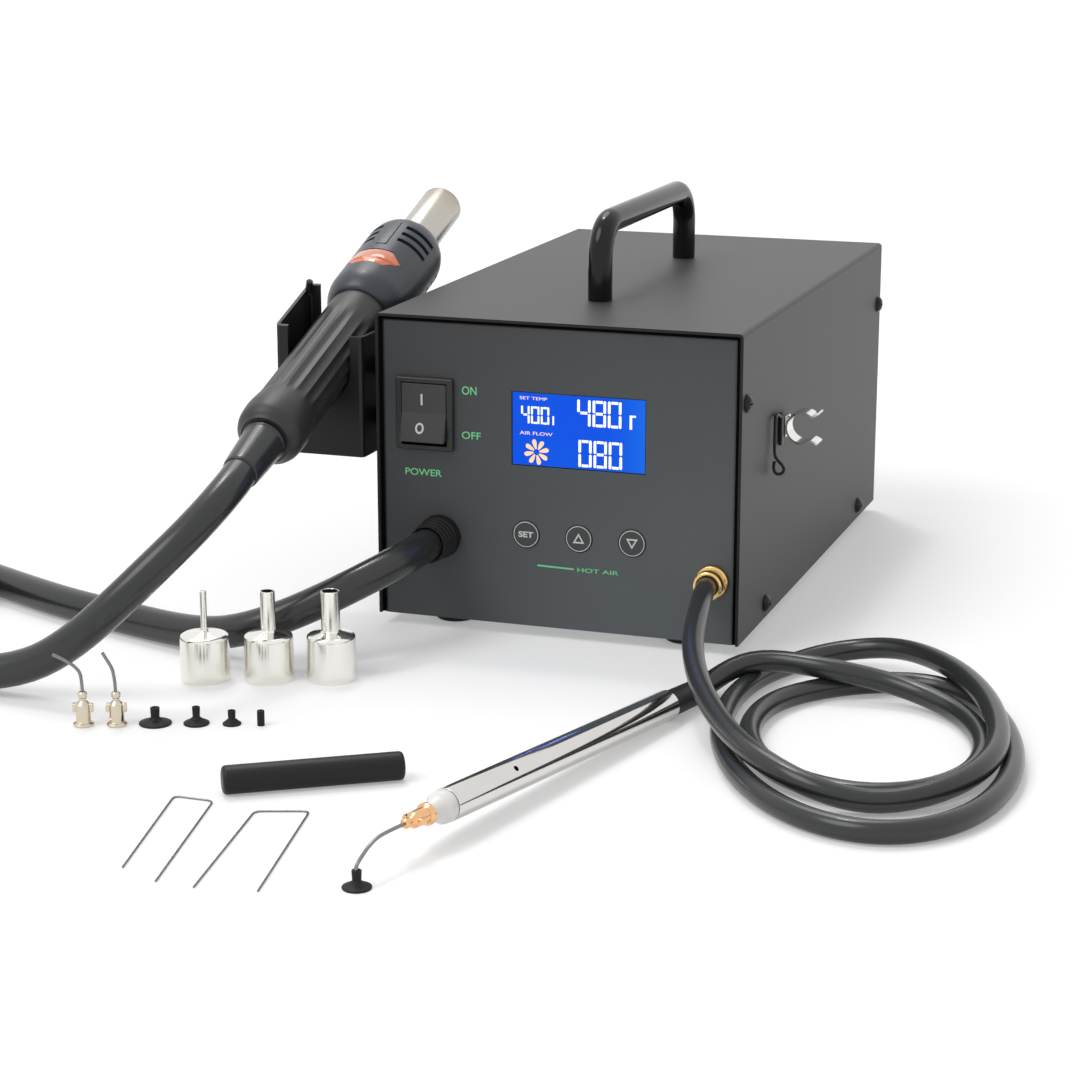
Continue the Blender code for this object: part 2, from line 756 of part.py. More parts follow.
def make_display_board():
    """The display, the switches behind the keys and their circuit board, on four posts."""
    face = display_board_front()
    low, high = KEY_Z - 0.011, LCD_Z + LCD_HEIGHT / 2 + 0.007
    width = LCD_WIDTH + 0.016
    middle = (low + high) / 2
    board = blocks("display_board", [((width, BOARD_THICKNESS, high - low),
                                      (LCD_X, -face + BOARD_THICKNESS / 2, middle))], circuit_board())
    glass_front = PANEL_Y - LCD_SINK
    glass_depth = glass_front - face + BOARD_THICKNESS / 2
    frame_depth = PANEL_BACK_Y - GAP - face + BOARD_THICKNESS / 2
    switch_depth = 0.0035 - GAP / 2 - KEY_TRAVEL + BOARD_THICKNESS / 2
    glass = [((LCD_WIDTH, glass_depth, LCD_HEIGHT),
              (LCD_X, -glass_front + glass_depth / 2, LCD_Z))]
    frame = [((LCD_WIDTH + 0.006, frame_depth, LCD_HEIGHT + 0.006),
              (LCD_X, -(PANEL_BACK_Y - GAP) + frame_depth / 2, LCD_Z))]
    for _, x in key_places():
        frame.append(((0.006, switch_depth, 0.006),
                      (x, -face + BOARD_THICKNESS / 2 - switch_depth / 2, KEY_Z)))
    join(board, blocks("display_frame", frame, black_plastic()))
    join(board, blocks("display_glass", glass, black_plastic()))
    post_length = PANEL_BACK_Y - GAP - face + BOARD_THICKNESS / 2
    post_z = PANEL_BACK_Y - GAP - post_length / 2
    posts = [(0.0025, post_length, (LCD_X + side * (width / 2 - 0.004), z, post_z))
             for side in (-1, 1) for z in (low + 0.004, high - 0.004)]
    join(board, cylinders("display_posts", posts, zinc_steel(), rotation=TO_FRONT, sides=6))


def make_hose_gland():
    """The ribbed gland that grips the hot-air hose, with its nut behind the panel."""
    mouth = HOT_HOSE_RADIUS + GAP
    rim = mouth + GLAND_WALL
    floor = GLAND_LENGTH - GLAND_GRIP
    profile = [(0.0, floor), (mouth, floor), (mouth, GLAND_LENGTH), (rim, GLAND_LENGTH)]
    for index in range(GLAND_RIBS):
        top = GLAND_LENGTH - 0.0012 - index * 0.0030
        radius = rim + GLAND_TAPER * index
        profile += [(radius, top), (radius - 0.0005, top - 0.0008), (radius + GLAND_TAPER, top - 0.0018)]
    collar = rim + GLAND_TAPER * GLAND_RIBS + 0.0005
    back = -SHEET - GAP
    profile += [(collar, GLAND_LENGTH - 0.0138), (collar, GAP), (GLAND_NECK_RADIUS, GAP),
                (GLAND_NECK_RADIUS, back), (GLAND_NUT_RADIUS, back), (GLAND_NUT_RADIUS, back - 0.004),
                (0.0, back - 0.004)]
    turned("hose_gland", profile, black_rubber(), location=(GLAND_X, -PANEL_Y, GLAND_Z),
           rotation=TO_FRONT, steps=16)


def make_vacuum_fitting():
    """The brass fitting for the vacuum hose, with a nut behind the panel."""
    mouth = VACUUM_HOSE_RADIUS + GAP
    back = -SHEET - GAP
    floor = FITTING_LENGTH - FITTING_GRIP
    profile = [(0.0, floor), (mouth, floor), (mouth, FITTING_LENGTH),
               (0.0056, FITTING_LENGTH), (0.0062, FITTING_LENGTH - 0.0006),
               (0.0062, FITTING_LENGTH - 0.0042), (0.0052, FITTING_LENGTH - 0.005), (0.0052, 0.0032),
               (0.0066, 0.0030), (0.0070, 0.0024), (0.0070, GAP), (FITTING_NECK_RADIUS, GAP),
               (FITTING_NECK_RADIUS, back), (0.0068, back), (0.0068, back - 0.003), (0.0035, back - 0.003),
               (0.0035, back - 0.012), (0.0, back - 0.012)]
    turned("vacuum_fitting", profile, brass(), location=(FITTING_X, -PANEL_Y, FITTING_Z),
           rotation=TO_FRONT, steps=12)


def make_mains_inlet():
    """The appliance inlet in the rear panel, with its three pins in the recess."""
    outer = PANEL_Y + GAP + INLET_FLANGE
    flange_size = (INLET_WIDTH + 0.0036, INLET_FLANGE, INLET_HEIGHT + 0.0036)
    inlet = blocks("mains_inlet", [(flange_size, (INLET_X, outer - INLET_FLANGE / 2, INLET_Z))],
                   black_plastic())
    add_bevel(inlet, EDGE_ROUND, 1)
    body_outer = outer - INLET_FLANGE / 2
    join(inlet, blocks("inlet_body", [((INLET_WIDTH, INLET_DEPTH, INLET_HEIGHT),
                                       (INLET_X, body_outer - INLET_DEPTH / 2, INLET_Z))],
                       black_plastic()))
    recess = INLET_DEPTH - 2 * INLET_RIM
    recess_size = (INLET_WIDTH - 2 * INLET_RIM, recess, INLET_HEIGHT - 2 * INLET_RIM)
    recess_centre = (INLET_X, outer + INLET_RIM - recess / 2, INLET_Z)
    cut(inlet, blocks("inlet_recess", [(recess_size, recess_centre)], black_plastic()))
    floor_y = outer + INLET_RIM - recess
    pins = [((0.002, 0.016, 0.004), (INLET_X + dx, floor_y + 0.0065, INLET_Z + dz))
            for dx, dz in ((-0.007, -0.0015), (0.0, 0.0025), (0.007, -0.0015))]
    join(inlet, blocks("inlet_pins", pins, zinc_steel()))


def make_air_pump():
    """The diaphragm pump that blows the hot air and draws the pen's vacuum, on four rubber feet."""
    floor = TRAY_TOP + GAP
    low = floor + PUMP_FOOT
    pump = blocks("air_pump", [((PUMP_WIDTH, PUMP_DEPTH, PUMP_HEIGHT),
                                (PUMP_X, PUMP_Y, low + PUMP_HEIGHT / 2))], pump_casting())
    add_bevel(pump, 0.004)
    top = low + PUMP_HEIGHT
    caps = [((PUMP_WIDTH * 0.7, PUMP_DEPTH * 0.2, 0.012), (PUMP_X, PUMP_Y + side * PUMP_DEPTH * 0.3, top))
            for side in (-1, 0, 1)]
    join(pump, blocks("pump_ribs", caps, pump_casting()))
    feet = [(0.006, PUMP_FOOT + 0.002, (PUMP_X + dx * (PUMP_WIDTH / 2 - 0.010),
                                        PUMP_Y + dy * (PUMP_DEPTH / 2 - 0.012),
                                        floor + (PUMP_FOOT + 0.002) / 2))
            for dx in (-1, 1) for dy in (-1, 1)]
    join(pump, cylinders("pump_feet", feet, black_rubber(), sides=8))
    barbs = [(0.0040, 0.022, (PUMP_X - 0.014, low + PUMP_HEIGHT * 0.6, -PUMP_Y + PUMP_DEPTH / 2 + 0.009)),
             (0.0030, 0.022, (PUMP_X + 0.014, low + PUMP_HEIGHT * 0.6, -PUMP_Y + PUMP_DEPTH / 2 + 0.009))]
    join(pump, cylinders("pump_barbs", barbs, pump_casting(), rotation=TO_FRONT, sides=8))


def make_main_board():
    """The power and control board on four posts, with its transformer, heat sink and capacitors."""
    floor = TRAY_TOP + GAP
    face = floor + MAIN_BOARD_RISE
    board = blocks("main_board", [((MAIN_BOARD_WIDTH, MAIN_BOARD_DEPTH, BOARD_THICKNESS),
                                   (MAIN_BOARD_X, MAIN_BOARD_Y, face + BOARD_THICKNESS / 2))],
                   circuit_board())
    top = face + BOARD_THICKNESS / 2
    front = MAIN_BOARD_Y - MAIN_BOARD_DEPTH / 2
    parts = [((0.036, 0.030, 0.028), (MAIN_BOARD_X + 0.006, front + 0.090, top + 0.014)),
             ((0.020, 0.016, 0.018), (MAIN_BOARD_X - 0.014, front + 0.052, top + 0.009)),
             ((0.030, 0.009, 0.012), (MAIN_BOARD_X + 0.004, front + 0.120, top + 0.006)),
             ((0.044, 0.003, 0.034), (MAIN_BOARD_X, front + 0.030, top + 0.017))]
    join(board, blocks("board_parts", parts, black_plastic()))
    fins = [((0.0015, 0.014, 0.030), (MAIN_BOARD_X - 0.018 + 0.006 * index, front + 0.023, top + 0.018))
            for index in range(7)]
    join(board, blocks("heat_sink_fins", fins, zinc_steel()))
    cans = [(0.0075, 0.024, (MAIN_BOARD_X + 0.014, front + 0.055, top + 0.012)),
            (0.0040, 0.014, (MAIN_BOARD_X + 0.001, front + 0.058, top + 0.007))]
    join(board, cylinders("capacitors", cans, black_plastic(), sides=10))
    post = MAIN_BOARD_RISE + BOARD_THICKNESS / 2
    posts = [(0.003, post, (MAIN_BOARD_X + dx * (MAIN_BOARD_WIDTH / 2 - 0.005),
                            MAIN_BOARD_Y + dy * (MAIN_BOARD_DEPTH / 2 - 0.005), floor + post / 2))
             for dx in (-1, 1) for dy in (-1, 1)]
    join(board, cylinders("board_posts", posts, zinc_steel(), sides=6))


HANDPIECE = new_frame("handpiece_frame", (HANDPIECE_X, HANDPIECE_Y, HANDPIECE_Z),
                      (HANDPIECE_SLOPE - math.radians(90.0), 0.0, 0.0), STATION)


def handpiece_axis_z(y):
    """Height of the handpiece's axis at a place along the case's depth."""
    return HANDPIECE_Z + (y - HANDPIECE_Y) * math.tan(HANDPIECE_SLOPE)


def grip_radius_at(place_along):
    """The grip's radius: a round bulge at the tail that settles into the straight grip."""
    share = place_along / GRIP_LENGTH
    bulge = (TAIL_RADIUS - GRIP_RADIUS) * math.exp(-((share - 0.12) / 0.10) ** 2)
    end = 0.22 * GRIP_RADIUS * math.exp(-(place_along / 0.0022) ** 2)
    return GRIP_RADIUS + bulge - end


def make_grip():
    """The grip is lofted from round sections with shallow flutes that fade at both ends."""
    sides = FLUTE_COUNT * 3
    stations = [0.0, 0.012, 0.04, 0.10, 0.17, 0.25, 0.34, 0.60, 0.80, 0.93, 1.0]
    mesh = bpy.data.meshes.new("handpiece_grip")
    form = bmesh.new()
    rings = []
    for share in stations:
        base = grip_radius_at(share * GRIP_LENGTH)
        fade = max(0.0, min(1.0, (share - 0.22) / 0.10, (0.93 - share) / 0.12))
        ring = []
        for side in range(sides):
            angle = 2 * math.pi * side / sides
            flute = FLUTE_DEPTH * fade * (0.5 + 0.5 * math.cos(FLUTE_COUNT * angle))
            radius = base - flute
            ring.append(form.verts.new((radius * math.cos(angle), radius * math.sin(angle),
                                        share * GRIP_LENGTH)))
        rings.append(ring)
    for lower, upper in zip(rings, rings[1:]):
        for side in range(sides):
            after = (side + 1) % sides
            form.faces.new((lower[side], lower[after], upper[after], upper[side]))
    form.faces.new(list(reversed(rings[0])))
    form.faces.new(rings[-1])
    form.to_mesh(mesh)
    form.free()
    shade_round(mesh)
    place(bpy.data.objects.new("handpiece_grip", mesh), grip_plastic(), (0.0, 0.0, 0.0), (0.0, 0.0, 0.0),
          HANDPIECE)


def lens_outline(margin):
    """A band across the head's top that comes to a point at each side, seen from above."""
    half_width = LENS_WIDTH / 2 - margin
    half_length = LENS_LENGTH / 2 - margin
    flat = LENS_WIDTH * 0.28
    middle = HEAD_START + LENS_START + LENS_LENGTH / 2
    return [(-half_width, middle), (-flat, middle - half_length), (flat, middle - half_length),
            (half_width, middle), (flat, middle + half_length), (-flat, middle + half_length)]


def lens_prism(name, margin):
    depth = HEAD_RADIUS * 0.7
    plate = flat_plate(name, [lens_outline(margin)], depth, orange_lens(), parent=HANDPIECE,
                       location=(0.0, -HEAD_RADIUS * 0.72, 0.0), rotation=TO_FRONT)
    return as_mesh(plate)


def make_head():
    """The head is a hollow moulded housing: a shoulder, a straight barrel and a rounded nose."""
    inner = HEAD_RADIUS - HEAD_WALL
    neck = GRIP_RADIUS + 0.0004
    mouth = PIPE_RADIUS + GAP
    start, end = HEAD_START, HEAD_END
    profile = [(0.0, start + HEAD_WALL), (neck - HEAD_WALL, start + HEAD_WALL),
               (inner, start + SHOULDER_LENGTH + 0.001), (inner, end - 0.009), (inner * 0.8, end - 0.004),
               (mouth, end - HEAD_WALL), (mouth, end), (HEAD_RADIUS * 0.62, end),
               (HEAD_RADIUS * 0.80, end - 0.0020), (HEAD_RADIUS * 0.93, end - 0.0055),
               (HEAD_RADIUS, end - 0.011), (HEAD_RADIUS, start + SHOULDER_LENGTH + 0.003),
               (HEAD_RADIUS * 0.975, start + SHOULDER_LENGTH), (HEAD_RADIUS * 0.86, start + 0.0085),
               (neck, start), (0.0, start)]
    head = turned("handpiece_head", profile, head_plastic(), parent=HANDPIECE, steps=20)
    rib_length = HEAD_LENGTH * 0.30
    rib = ((0.0042, 0.0034, rib_length), (0.0, -HEAD_RADIUS + 0.0006, end - 0.011 - rib_length / 2))
    join(head, blocks("head_rib", [rib], head_plastic(), parent=HANDPIECE))
    slots = []
    for index in range(SLOT_COUNT):
        along = start + FIRST_SLOT + index * SLOT_PITCH - SLOT_PITCH * 0.5
        for hand in (-1, 1):
            for up in (-1, 1):
                slots.append(((HEAD_RADIUS * 0.62, HEAD_RADIUS * 0.62, SLOT_WIDTH),
                              (hand * HEAD_RADIUS * 0.56, up * HEAD_RADIUS * 0.66, along)))
    cut(head, blocks("head_slots", slots, head_plastic(), parent=HANDPIECE))
    cut(head, lens_prism("lens_window", 0.0))


def make_lens():
    """The orange lens band is cut from a ring that follows the head's wall."""
    inner = HEAD_RADIUS - HEAD_WALL
    low = HEAD_START + LENS_START - LENS_LENGTH
    high = HEAD_START + LENS_START + 2 * LENS_LENGTH
    outer = HEAD_RADIUS + 0.0002
    lens = turned("indicator_lens", [(inner, high), (outer, high), (outer, low), (inner, low)],
                  orange_lens(), parent=HANDPIECE, steps=20)
    combine(lens, lens_prism("lens_shape", GAP), "INTERSECT")


def make_heater():
    """The steel outlet pipe and the ceramic heater core inside it."""
    outer, inner = PIPE_RADIUS, PIPE_RADIUS - PIPE_WALL
    low = PIPE_END - PIPE_LENGTH
    turned("heat_pipe", [(inner, PIPE_END), (outer, PIPE_END), (outer, low), (inner, low)], satin_steel(),
           parent=HANDPIECE, steps=20)
    radius = inner - GAP
    high = PIPE_END - CORE_RECESS
    core = turned("heater_core", [(0.0, high), (radius, high), (radius, high - CORE_LENGTH),
                                  (0.0, high - CORE_LENGTH)], ceramic(), parent=HANDPIECE, steps=18)
    holes = [(CORE_HOLE_RADIUS, CORE_LENGTH * 2, (CORE_HOLE_CIRCLE * math.cos(turn),
                                                  CORE_HOLE_CIRCLE * math.sin(turn), high))
             for turn in (2 * math.pi * index / CORE_HOLES for index in range(CORE_HOLES))]
    cut(core, cylinders("core_holes", holes, ceramic(), parent=HANDPIECE, sides=6))


def make_hose_boot():
    """The tapered boot between the grip's tail and the hot-air hose."""
    profile = [(0.0, -GAP), (BOOT_RADIUS, -GAP), (BOOT_RADIUS, -0.004)]
    ribs = 4
    for index in range(ribs):
        top = -0.004 - index * (BOOT_LENGTH - 0.008) / ribs
        radius = BOOT_RADIUS + (BOOT_TIP_RADIUS - BOOT_RADIUS) * (index + 1) / ribs
        profile += [(radius - 0.0006, top - 0.0012), (radius, top - 0.0026)]
    profile += [(BOOT_TIP_RADIUS, -BOOT_LENGTH), (0.0, -BOOT_LENGTH)]
    turned("hose_boot", profile, black_rubber(), parent=HANDPIECE, steps=16)


def shoulder_touch_y():
    """Rearmost Y for the holder's rear plate, just short of the head's shoulder."""
    half_notch = GRIP_RADIUS + CRADLE_CLEARANCE
    neck = GRIP_RADIUS + 0.0004
    slope = (HEAD_RADIUS * 0.86 - neck) / 0.0085
    nearest = None
    for step in range(16):
        lift = math.radians(2.0 * step)
        radius = half_notch / math.cos(lift)
        along = HEAD_START + (radius - neck) / slope
        rise = radius * math.sin(lift)
        y = HANDPIECE_Y + along * math.cos(HANDPIECE_SLOPE) - rise * math.sin(HANDPIECE_SLOPE)
        nearest = y if nearest is None else min(nearest, y)
    return nearest - GAP


def notch_tool(name, plate_front, plate_back):
    """A round-bottomed slot, open at the top, through one plate of the holder."""
    radius = GRIP_RADIUS + CRADLE_CLEARANCE
    rise = GRIP_RADIUS / math.cos(HANDPIECE_SLOPE) + GAP
    centre = handpiece_axis_z(plate_front) - rise + radius
    outline = arc((0.0, 0.0), radius, math.pi, 2 * math.pi, 13)
    outline += [(radius, 0.08), (-radius, 0.08)]
    thickness = 3 * (plate_back - plate_front)
    middle = (plate_front + plate_back) / 2
    return as_mesh(flat_plate(name, [outline], thickness, black_steel(),
                              location=(HANDPIECE_X, middle, centre), rotation=TO_FRONT))


def make_holder():
    """The holder is a folded sheet with a notch in its front and rear plates for the grip."""
    back = shoulder_touch_y()
    right = -SIDE_X - HOLDER_OFFSET
    height = 0.075
    centre = (right - HOLDER_WIDTH / 2, (HOLDER_FRONT_Y + back) / 2, HOLDER_BOTTOM + height / 2)
    holder = folded_sheet("holder_bracket", (HOLDER_WIDTH, back - HOLDER_FRONT_Y, height), centre,
                          ((0, 0, 1), (0, 0, -1)), HOLDER_BEND, HOLDER_SHEET, black_steel())
    cut(holder, notch_tool("front_notch", HOLDER_FRONT_Y, HOLDER_FRONT_Y + HOLDER_SHEET))
    cut(holder, notch_tool("rear_notch", back - HOLDER_SHEET, back))
    block = 0.12
    up = Vector((0.0, -math.sin(HANDPIECE_SLOPE), math.cos(HANDPIECE_SLOPE))) * (block / 2)
    top_z = handpiece_axis_z(HOLDER_FRONT_Y) + HOLDER_TOP_OFFSET
    along = Vector((centre[0], HOLDER_FRONT_Y, top_z)) + up
    cut(holder, blocks("holder_top_cut", [((block, block * 2, block), (0.0, 0.0, 0.0))], black_steel(),
                       location=along, rotation=(HANDPIECE_SLOPE, 0.0, 0.0)))
    edge = HANDPIECE_X + GRIP_RADIUS
    cut(holder, blocks("holder_right_cut", [((block, block, block),
                                             (edge + block / 2, HOLDER_FRONT_Y,
                                              HOLDER_RIGHT_TOP + block / 2))], black_steel()))
    length = HOLDER_OFFSET + HOLDER_SHEET / 2 - GAP
    middle_z = (HOLDER_BOTTOM + HOLDER_RIGHT_TOP) / 2
    standoffs = [(STANDOFF_RADIUS, length, (-middle_z - side * STANDOFF_PITCH / 2, centre[1],
                                            -SIDE_X - GAP - length / 2)) for side in (-1, 1)]
    join(holder, cylinders("holder_standoffs", standoffs, black_steel(), rotation=TO_RIGHT, sides=16))


def make_pen_clip():
    """The sprung clip on the right side that holds the pen, its black mounting plate and the hook."""
    plate_x = SIDE_X + GAP
    radius = PEN_RADIUS + GAP
    strip = CLIP_STRIP
    centre_x = plate_x + CLIP_PLATE + GAP + strip + radius
    points = arc((0.0, 0.0), radius, CLIP_OPENING, 2 * math.pi - CLIP_OPENING, 17)
    lip = radius * 0.45
    first, last = points[0], points[-1]
    points = [(first[0] + lip, first[1] + lip * 0.5)] + points + [(last[0] + lip, last[1] - lip * 0.5)]
    mesh = bpy.data.meshes.new("pen_clip")
    form = bmesh.new()
    near = [form.verts.new((x, -CLIP_WIDTH / 2, z)) for x, z in points]
    far = [form.verts.new((x, CLIP_WIDTH / 2, z)) for x, z in points]
    for index in range(len(points) - 1):
        form.faces.new((near[index], near[index + 1], far[index + 1], far[index]))
    form.to_mesh(mesh)
    form.free()
    clip = place(bpy.data.objects.new("pen_clip", mesh), bright_steel(), (centre_x, CLIP_Y, CLIP_Z),
                 (0.0, 0.0, 0.0), STATION)
    add_solidify(clip, strip)
    make_pen_hook(plate_x)


def make_pen_hook(plate_x):
    height = 0.0155
    depth = CLIP_WIDTH + 0.012
    middle_y = CLIP_Y - 0.002
    hook = blocks("pen_hook", [((CLIP_PLATE, depth, height),
                                (plate_x + CLIP_PLATE / 2, middle_y, CLIP_Z))], black_steel())
    wire_x = plate_x + CLIP_PLATE
    front = middle_y - depth / 2
    shape = [(0.0, 0.004, 0.006), (0.0, -0.004, 0.0075), (0.0005, -0.0085, 0.005),
             (0.0008, -0.009, -0.006), (0.0015, -0.009, -0.012), (0.0045, -0.009, -0.0155),
             (0.008, -0.009, -0.0125), (0.0085, -0.009, -0.0095)]
    route = [(wire_x + x, front + y, CLIP_Z + z) for x, y, z in shape]
    wire = bent_rod("hook_wire", smooth_route(route, 0.003), HOOK_WIRE_RADIUS, black_steel(), roundness=1)
    join(hook, as_mesh(wire))


def pen_direction():
    """Unit vector along the pen, from its nose to its tail."""
    level = math.cos(PEN_TILT)
    return Vector((-math.sin(PEN_HEADING) * level, math.cos(PEN_HEADING) * level, -math.sin(PEN_TILT)))


def pen_point(along):
    """A point on the pen's axis, measured from the nose end of its barrel towards its tail."""
    tail = Vector((PEN_TAIL_X, PEN_TAIL_Y, PEN_RADIUS))
    return tail + pen_direction() * (along - PEN_LENGTH)


PEN = new_frame("pen_frame", pen_point(0.0), (math.radians(-90.0) - PEN_TILT, 0.0, PEN_HEADING), STATION)


def make_pen():
    """The pick-up pen: a white nose, a bright barrel with a finger vent, and a collar for the hose."""
    inner = PEN_RADIUS - PEN_WALL
    barrel = turned("pen_barrel", [(inner, PEN_LENGTH), (PEN_RADIUS, PEN_LENGTH), (PEN_RADIUS, 0.0),
                                   (inner, 0.0)], bright_steel(), parent=PEN, steps=20)
    vent = cylinders("pen_vent", [(PEN_VENT_RADIUS, PEN_RADIUS, (0.0, PEN_VENT_PLACE, PEN_RADIUS))],
                     bright_steel(), parent=PEN, rotation=TO_FRONT, sides=10)
    cut(barrel, vent)
    plug = 0.010
    tip = -PEN_NOSE_LENGTH
    slip = HUB_BORE_RADIUS - GAP
    slip_end = tip - HUB_BORE_DEPTH + 2 * GAP
    shoulder = PEN_RADIUS - 0.0002
    turned("pen_nose", [(0.0, plug), (inner - GAP, plug), (inner - GAP, -GAP), (shoulder, -GAP),
                        (shoulder, -0.0035), (shoulder - 0.0012, -0.0052), (0.0032, tip), (slip, tip),
                        (slip - 0.0001, slip_end), (0.0, slip_end)],
           white_plastic(), parent=PEN, steps=16)
    end = PEN_LENGTH
    collar = PEN_COLLAR_RADIUS
    flange = PEN_RADIUS - 0.0002
    turned("pen_collar", [(0.0, end + PEN_COLLAR_LENGTH), (collar - 0.0006, end + PEN_COLLAR_LENGTH),
                          (collar, end + PEN_COLLAR_LENGTH - 0.001), (collar, end + GAP + 0.0012),
                          (flange, end + GAP + 0.0012), (flange, end + GAP),
                          (inner - GAP, end + GAP), (inner - GAP, end - plug), (0.0, end - plug)],
           black_rubber(), parent=PEN, steps=16)


def oval(centre_x, centre_y, half_a, half_b, turn, count):
    """Points on an oval whose axes are turned in the plane."""
    points = []
    for index in range(count):
        angle = 2 * math.pi * index / count
        a, b = half_a * math.cos(angle), half_b * math.sin(angle)
        points.append((centre_x + a * math.cos(turn) - b * math.sin(turn),
                       centre_y + a * math.sin(turn) + b * math.cos(turn)))
    return points


def make_vacuum_hose():
    """The vacuum hose: from its fitting down to the oval coil, and from the coil to the pen."""
    fitting_end = -PANEL_Y - FITTING_LENGTH + FITTING_GRIP - GAP
    drop = [(FITTING_X, fitting_end, FITTING_Z), (0.0685, -0.1500, 0.0318), (0.0687, -0.1610, 0.0285),
            (0.0705, -0.1740, 0.0238), (0.0738, -0.1870, 0.0200), (0.0780, -0.1990, 0.0172),
            (0.0825, -0.2100, 0.0148), (0.0875, -0.2212, 0.0131)]
    bent_rod("vacuum_hose_drop", smooth_route(drop, 0.010), VACUUM_HOSE_RADIUS, hose_rubber())
    height = 4 * VACUUM_HOSE_RADIUS
    outer = oval(COIL_X, COIL_Y, COIL_OUTER_A, COIL_OUTER_B, COIL_TURN, 28)
    inner = oval(COIL_X, COIL_Y, COIL_OUTER_A - COIL_BAND_A, COIL_OUTER_B - COIL_BAND_B, COIL_TURN, 28)
    flat_plate("vacuum_hose_coil", [outer, inner], height, hose_rubber(), location=(0.0, 0.0, height / 2))
    start = pen_point(PEN_LENGTH + PEN_COLLAR_LENGTH + GAP)
    lead = [tuple(start), tuple(start + pen_direction() * 0.004), (0.0850, -0.1868, 0.0050)]
    bent_rod("vacuum_hose_lead", smooth_route(lead, 0.006), VACUUM_HOSE_RADIUS, hose_rubber())


def make_hot_air_hose():
    """The hot-air hose: from the gland to its coil at the left, and from the coil to the handpiece."""
    gland_end = -PANEL_Y - GLAND_LENGTH + GLAND_GRIP - GAP
    run = [(GLAND_X, gland_end, GLAND_Z), (-0.0520, -0.1580, 0.0405), (-0.0545, -0.1720, 0.0380),
           (-0.0625, -0.1850, 0.0330), (-0.0760, -0.1930, 0.0265), (-0.0940, -0.1965, 0.0190),
           (-0.1150, -0.1965, 0.0120), (-0.1400, -0.1925, 0.0078), (-0.1700, -0.1835, 0.0072),
           (-0.2000, -0.1720, 0.0072), (-0.2300, -0.1600, 0.0072), (-0.2570, -0.1490, 0.0072)]
    bent_rod("hot_hose_panel_run", smooth_route(run, 0.018), HOT_HOSE_RADIUS, hose_rubber(), roundness=2)
    section = HOT_HOSE_RADIUS
    layers = 4 * HOT_HOSE_RADIUS
    bend = section * 0.4
    outer, inner = HOT_COIL_RADIUS + section, HOT_COIL_RADIUS - section
    ring = [(inner + bend, layers), (outer - bend, layers), (outer, layers - bend), (outer, bend),
            (outer - bend, 0.0), (inner + bend, 0.0), (inner, bend), (inner, layers - bend)]
    turned("hot_hose_coil", ring, hose_rubber(), location=(HOT_COIL_X, HOT_COIL_Y, 0.0), steps=28)
    axis = Vector((0.0, -math.cos(HANDPIECE_SLOPE), -math.sin(HANDPIECE_SLOPE)))
    tail = Vector((HANDPIECE_X, HANDPIECE_Y, HANDPIECE_Z))
    start = tail + axis * (BOOT_LENGTH + GAP)
    run = [tuple(start), tuple(start + axis * 0.014), (-0.1120, -0.2470, 0.0665),
           (-0.1220, -0.2610, 0.0540), (-0.1360, -0.2700, 0.0390), (-0.1520, -0.2745, 0.0245),
           (-0.1700, -0.2760, 0.0135), (-0.1900, -0.2765, 0.0084), (-0.2130, -0.2765, 0.0078),
           (-0.2400, -0.2760, 0.0110), (-0.2620, -0.2755, 0.0160), (-0.2848, -0.2750, 0.0200)]
    bent_rod("hot_hose_handpiece_run", smooth_route(run, 0.018), HOT_HOSE_RADIUS, hose_rubber(),
             roundness=2)


def make_nozzles():
    """Three nozzles that slip over the heat pipe, standing on their open bases."""
    for number, (spot, bore) in enumerate(zip(NOZZLE_PLACES, NOZZLE_BORES), 1):
        inner = NOZZLE_INNER_RADIUS
        outer = inner + NOZZLE_WALL
        tip = bore + 0.0006
        base = NOZZLE_BASE_HEIGHT
        profile = [(inner, 0.0), (inner - 0.0002, base - 0.005), (inner * 0.86, base - 0.0028),
                   (bore + 0.0004, base - 0.0018), (bore, base), (bore, NOZZLE_HEIGHT),
                   (tip, NOZZLE_HEIGHT), (tip, base + 0.0005), (tip + 0.0008, base - 0.0002),
                   (inner * 0.87, base - 0.0014), (outer - 0.0006, base - 0.0034),
                   (outer - 0.0003, base * 0.5), (outer - 0.0002, 0.004), (outer + 0.0004, 0.0016),
                   (outer + 0.0004, 0.0)]
        turned("nozzle_" + str(number), profile, bright_steel(), location=(*spot, 0.0), steps=14)


def hub_profile():
    """A luer hub: a base flange, a body with a shoulder, a waist and a ring at the needle."""
    top = HUB_HEIGHT
    body = HUB_RADIUS * 0.72
    return [(0.0, top), (0.0012, top), (0.0018, top - 0.0006), (0.0018, top - 0.0021),
            (0.0013, top - 0.0026), (0.0014, top - 0.0036), (body, top - 0.0050), (body, 0.0016),
            (HUB_RADIUS, 0.0010), (HUB_RADIUS, 0.0), (HUB_BORE_RADIUS, 0.0),
            (HUB_BORE_RADIUS, HUB_BORE_DEPTH), (0.0, HUB_BORE_DEPTH)]


def make_needle(name, location, rotation, route):
    """A bent needle in its hub. The route runs from the hub's top, in the hub's own frame."""
    frame = new_frame(name + "_frame", location, rotation, STATION)
    hub = turned(name, hub_profile(), bright_steel(), parent=frame, steps=8)
    wings = ((2 * HUB_RADIUS, 0.0022, 0.0034), (0.0, 0.0, HUB_HEIGHT * 0.53))
    join(hub, blocks(name + "_wings", [wings], bright_steel(), parent=frame))
    start = [(0.0, 0.0, HUB_HEIGHT - 0.003)]
    wire = bent_rod(name + "_wire", smooth_route(start + route, 0.003), NEEDLE_RADIUS, bright_steel(),
                    parent=frame, roundness=1)
    join(hub, as_mesh(wire))


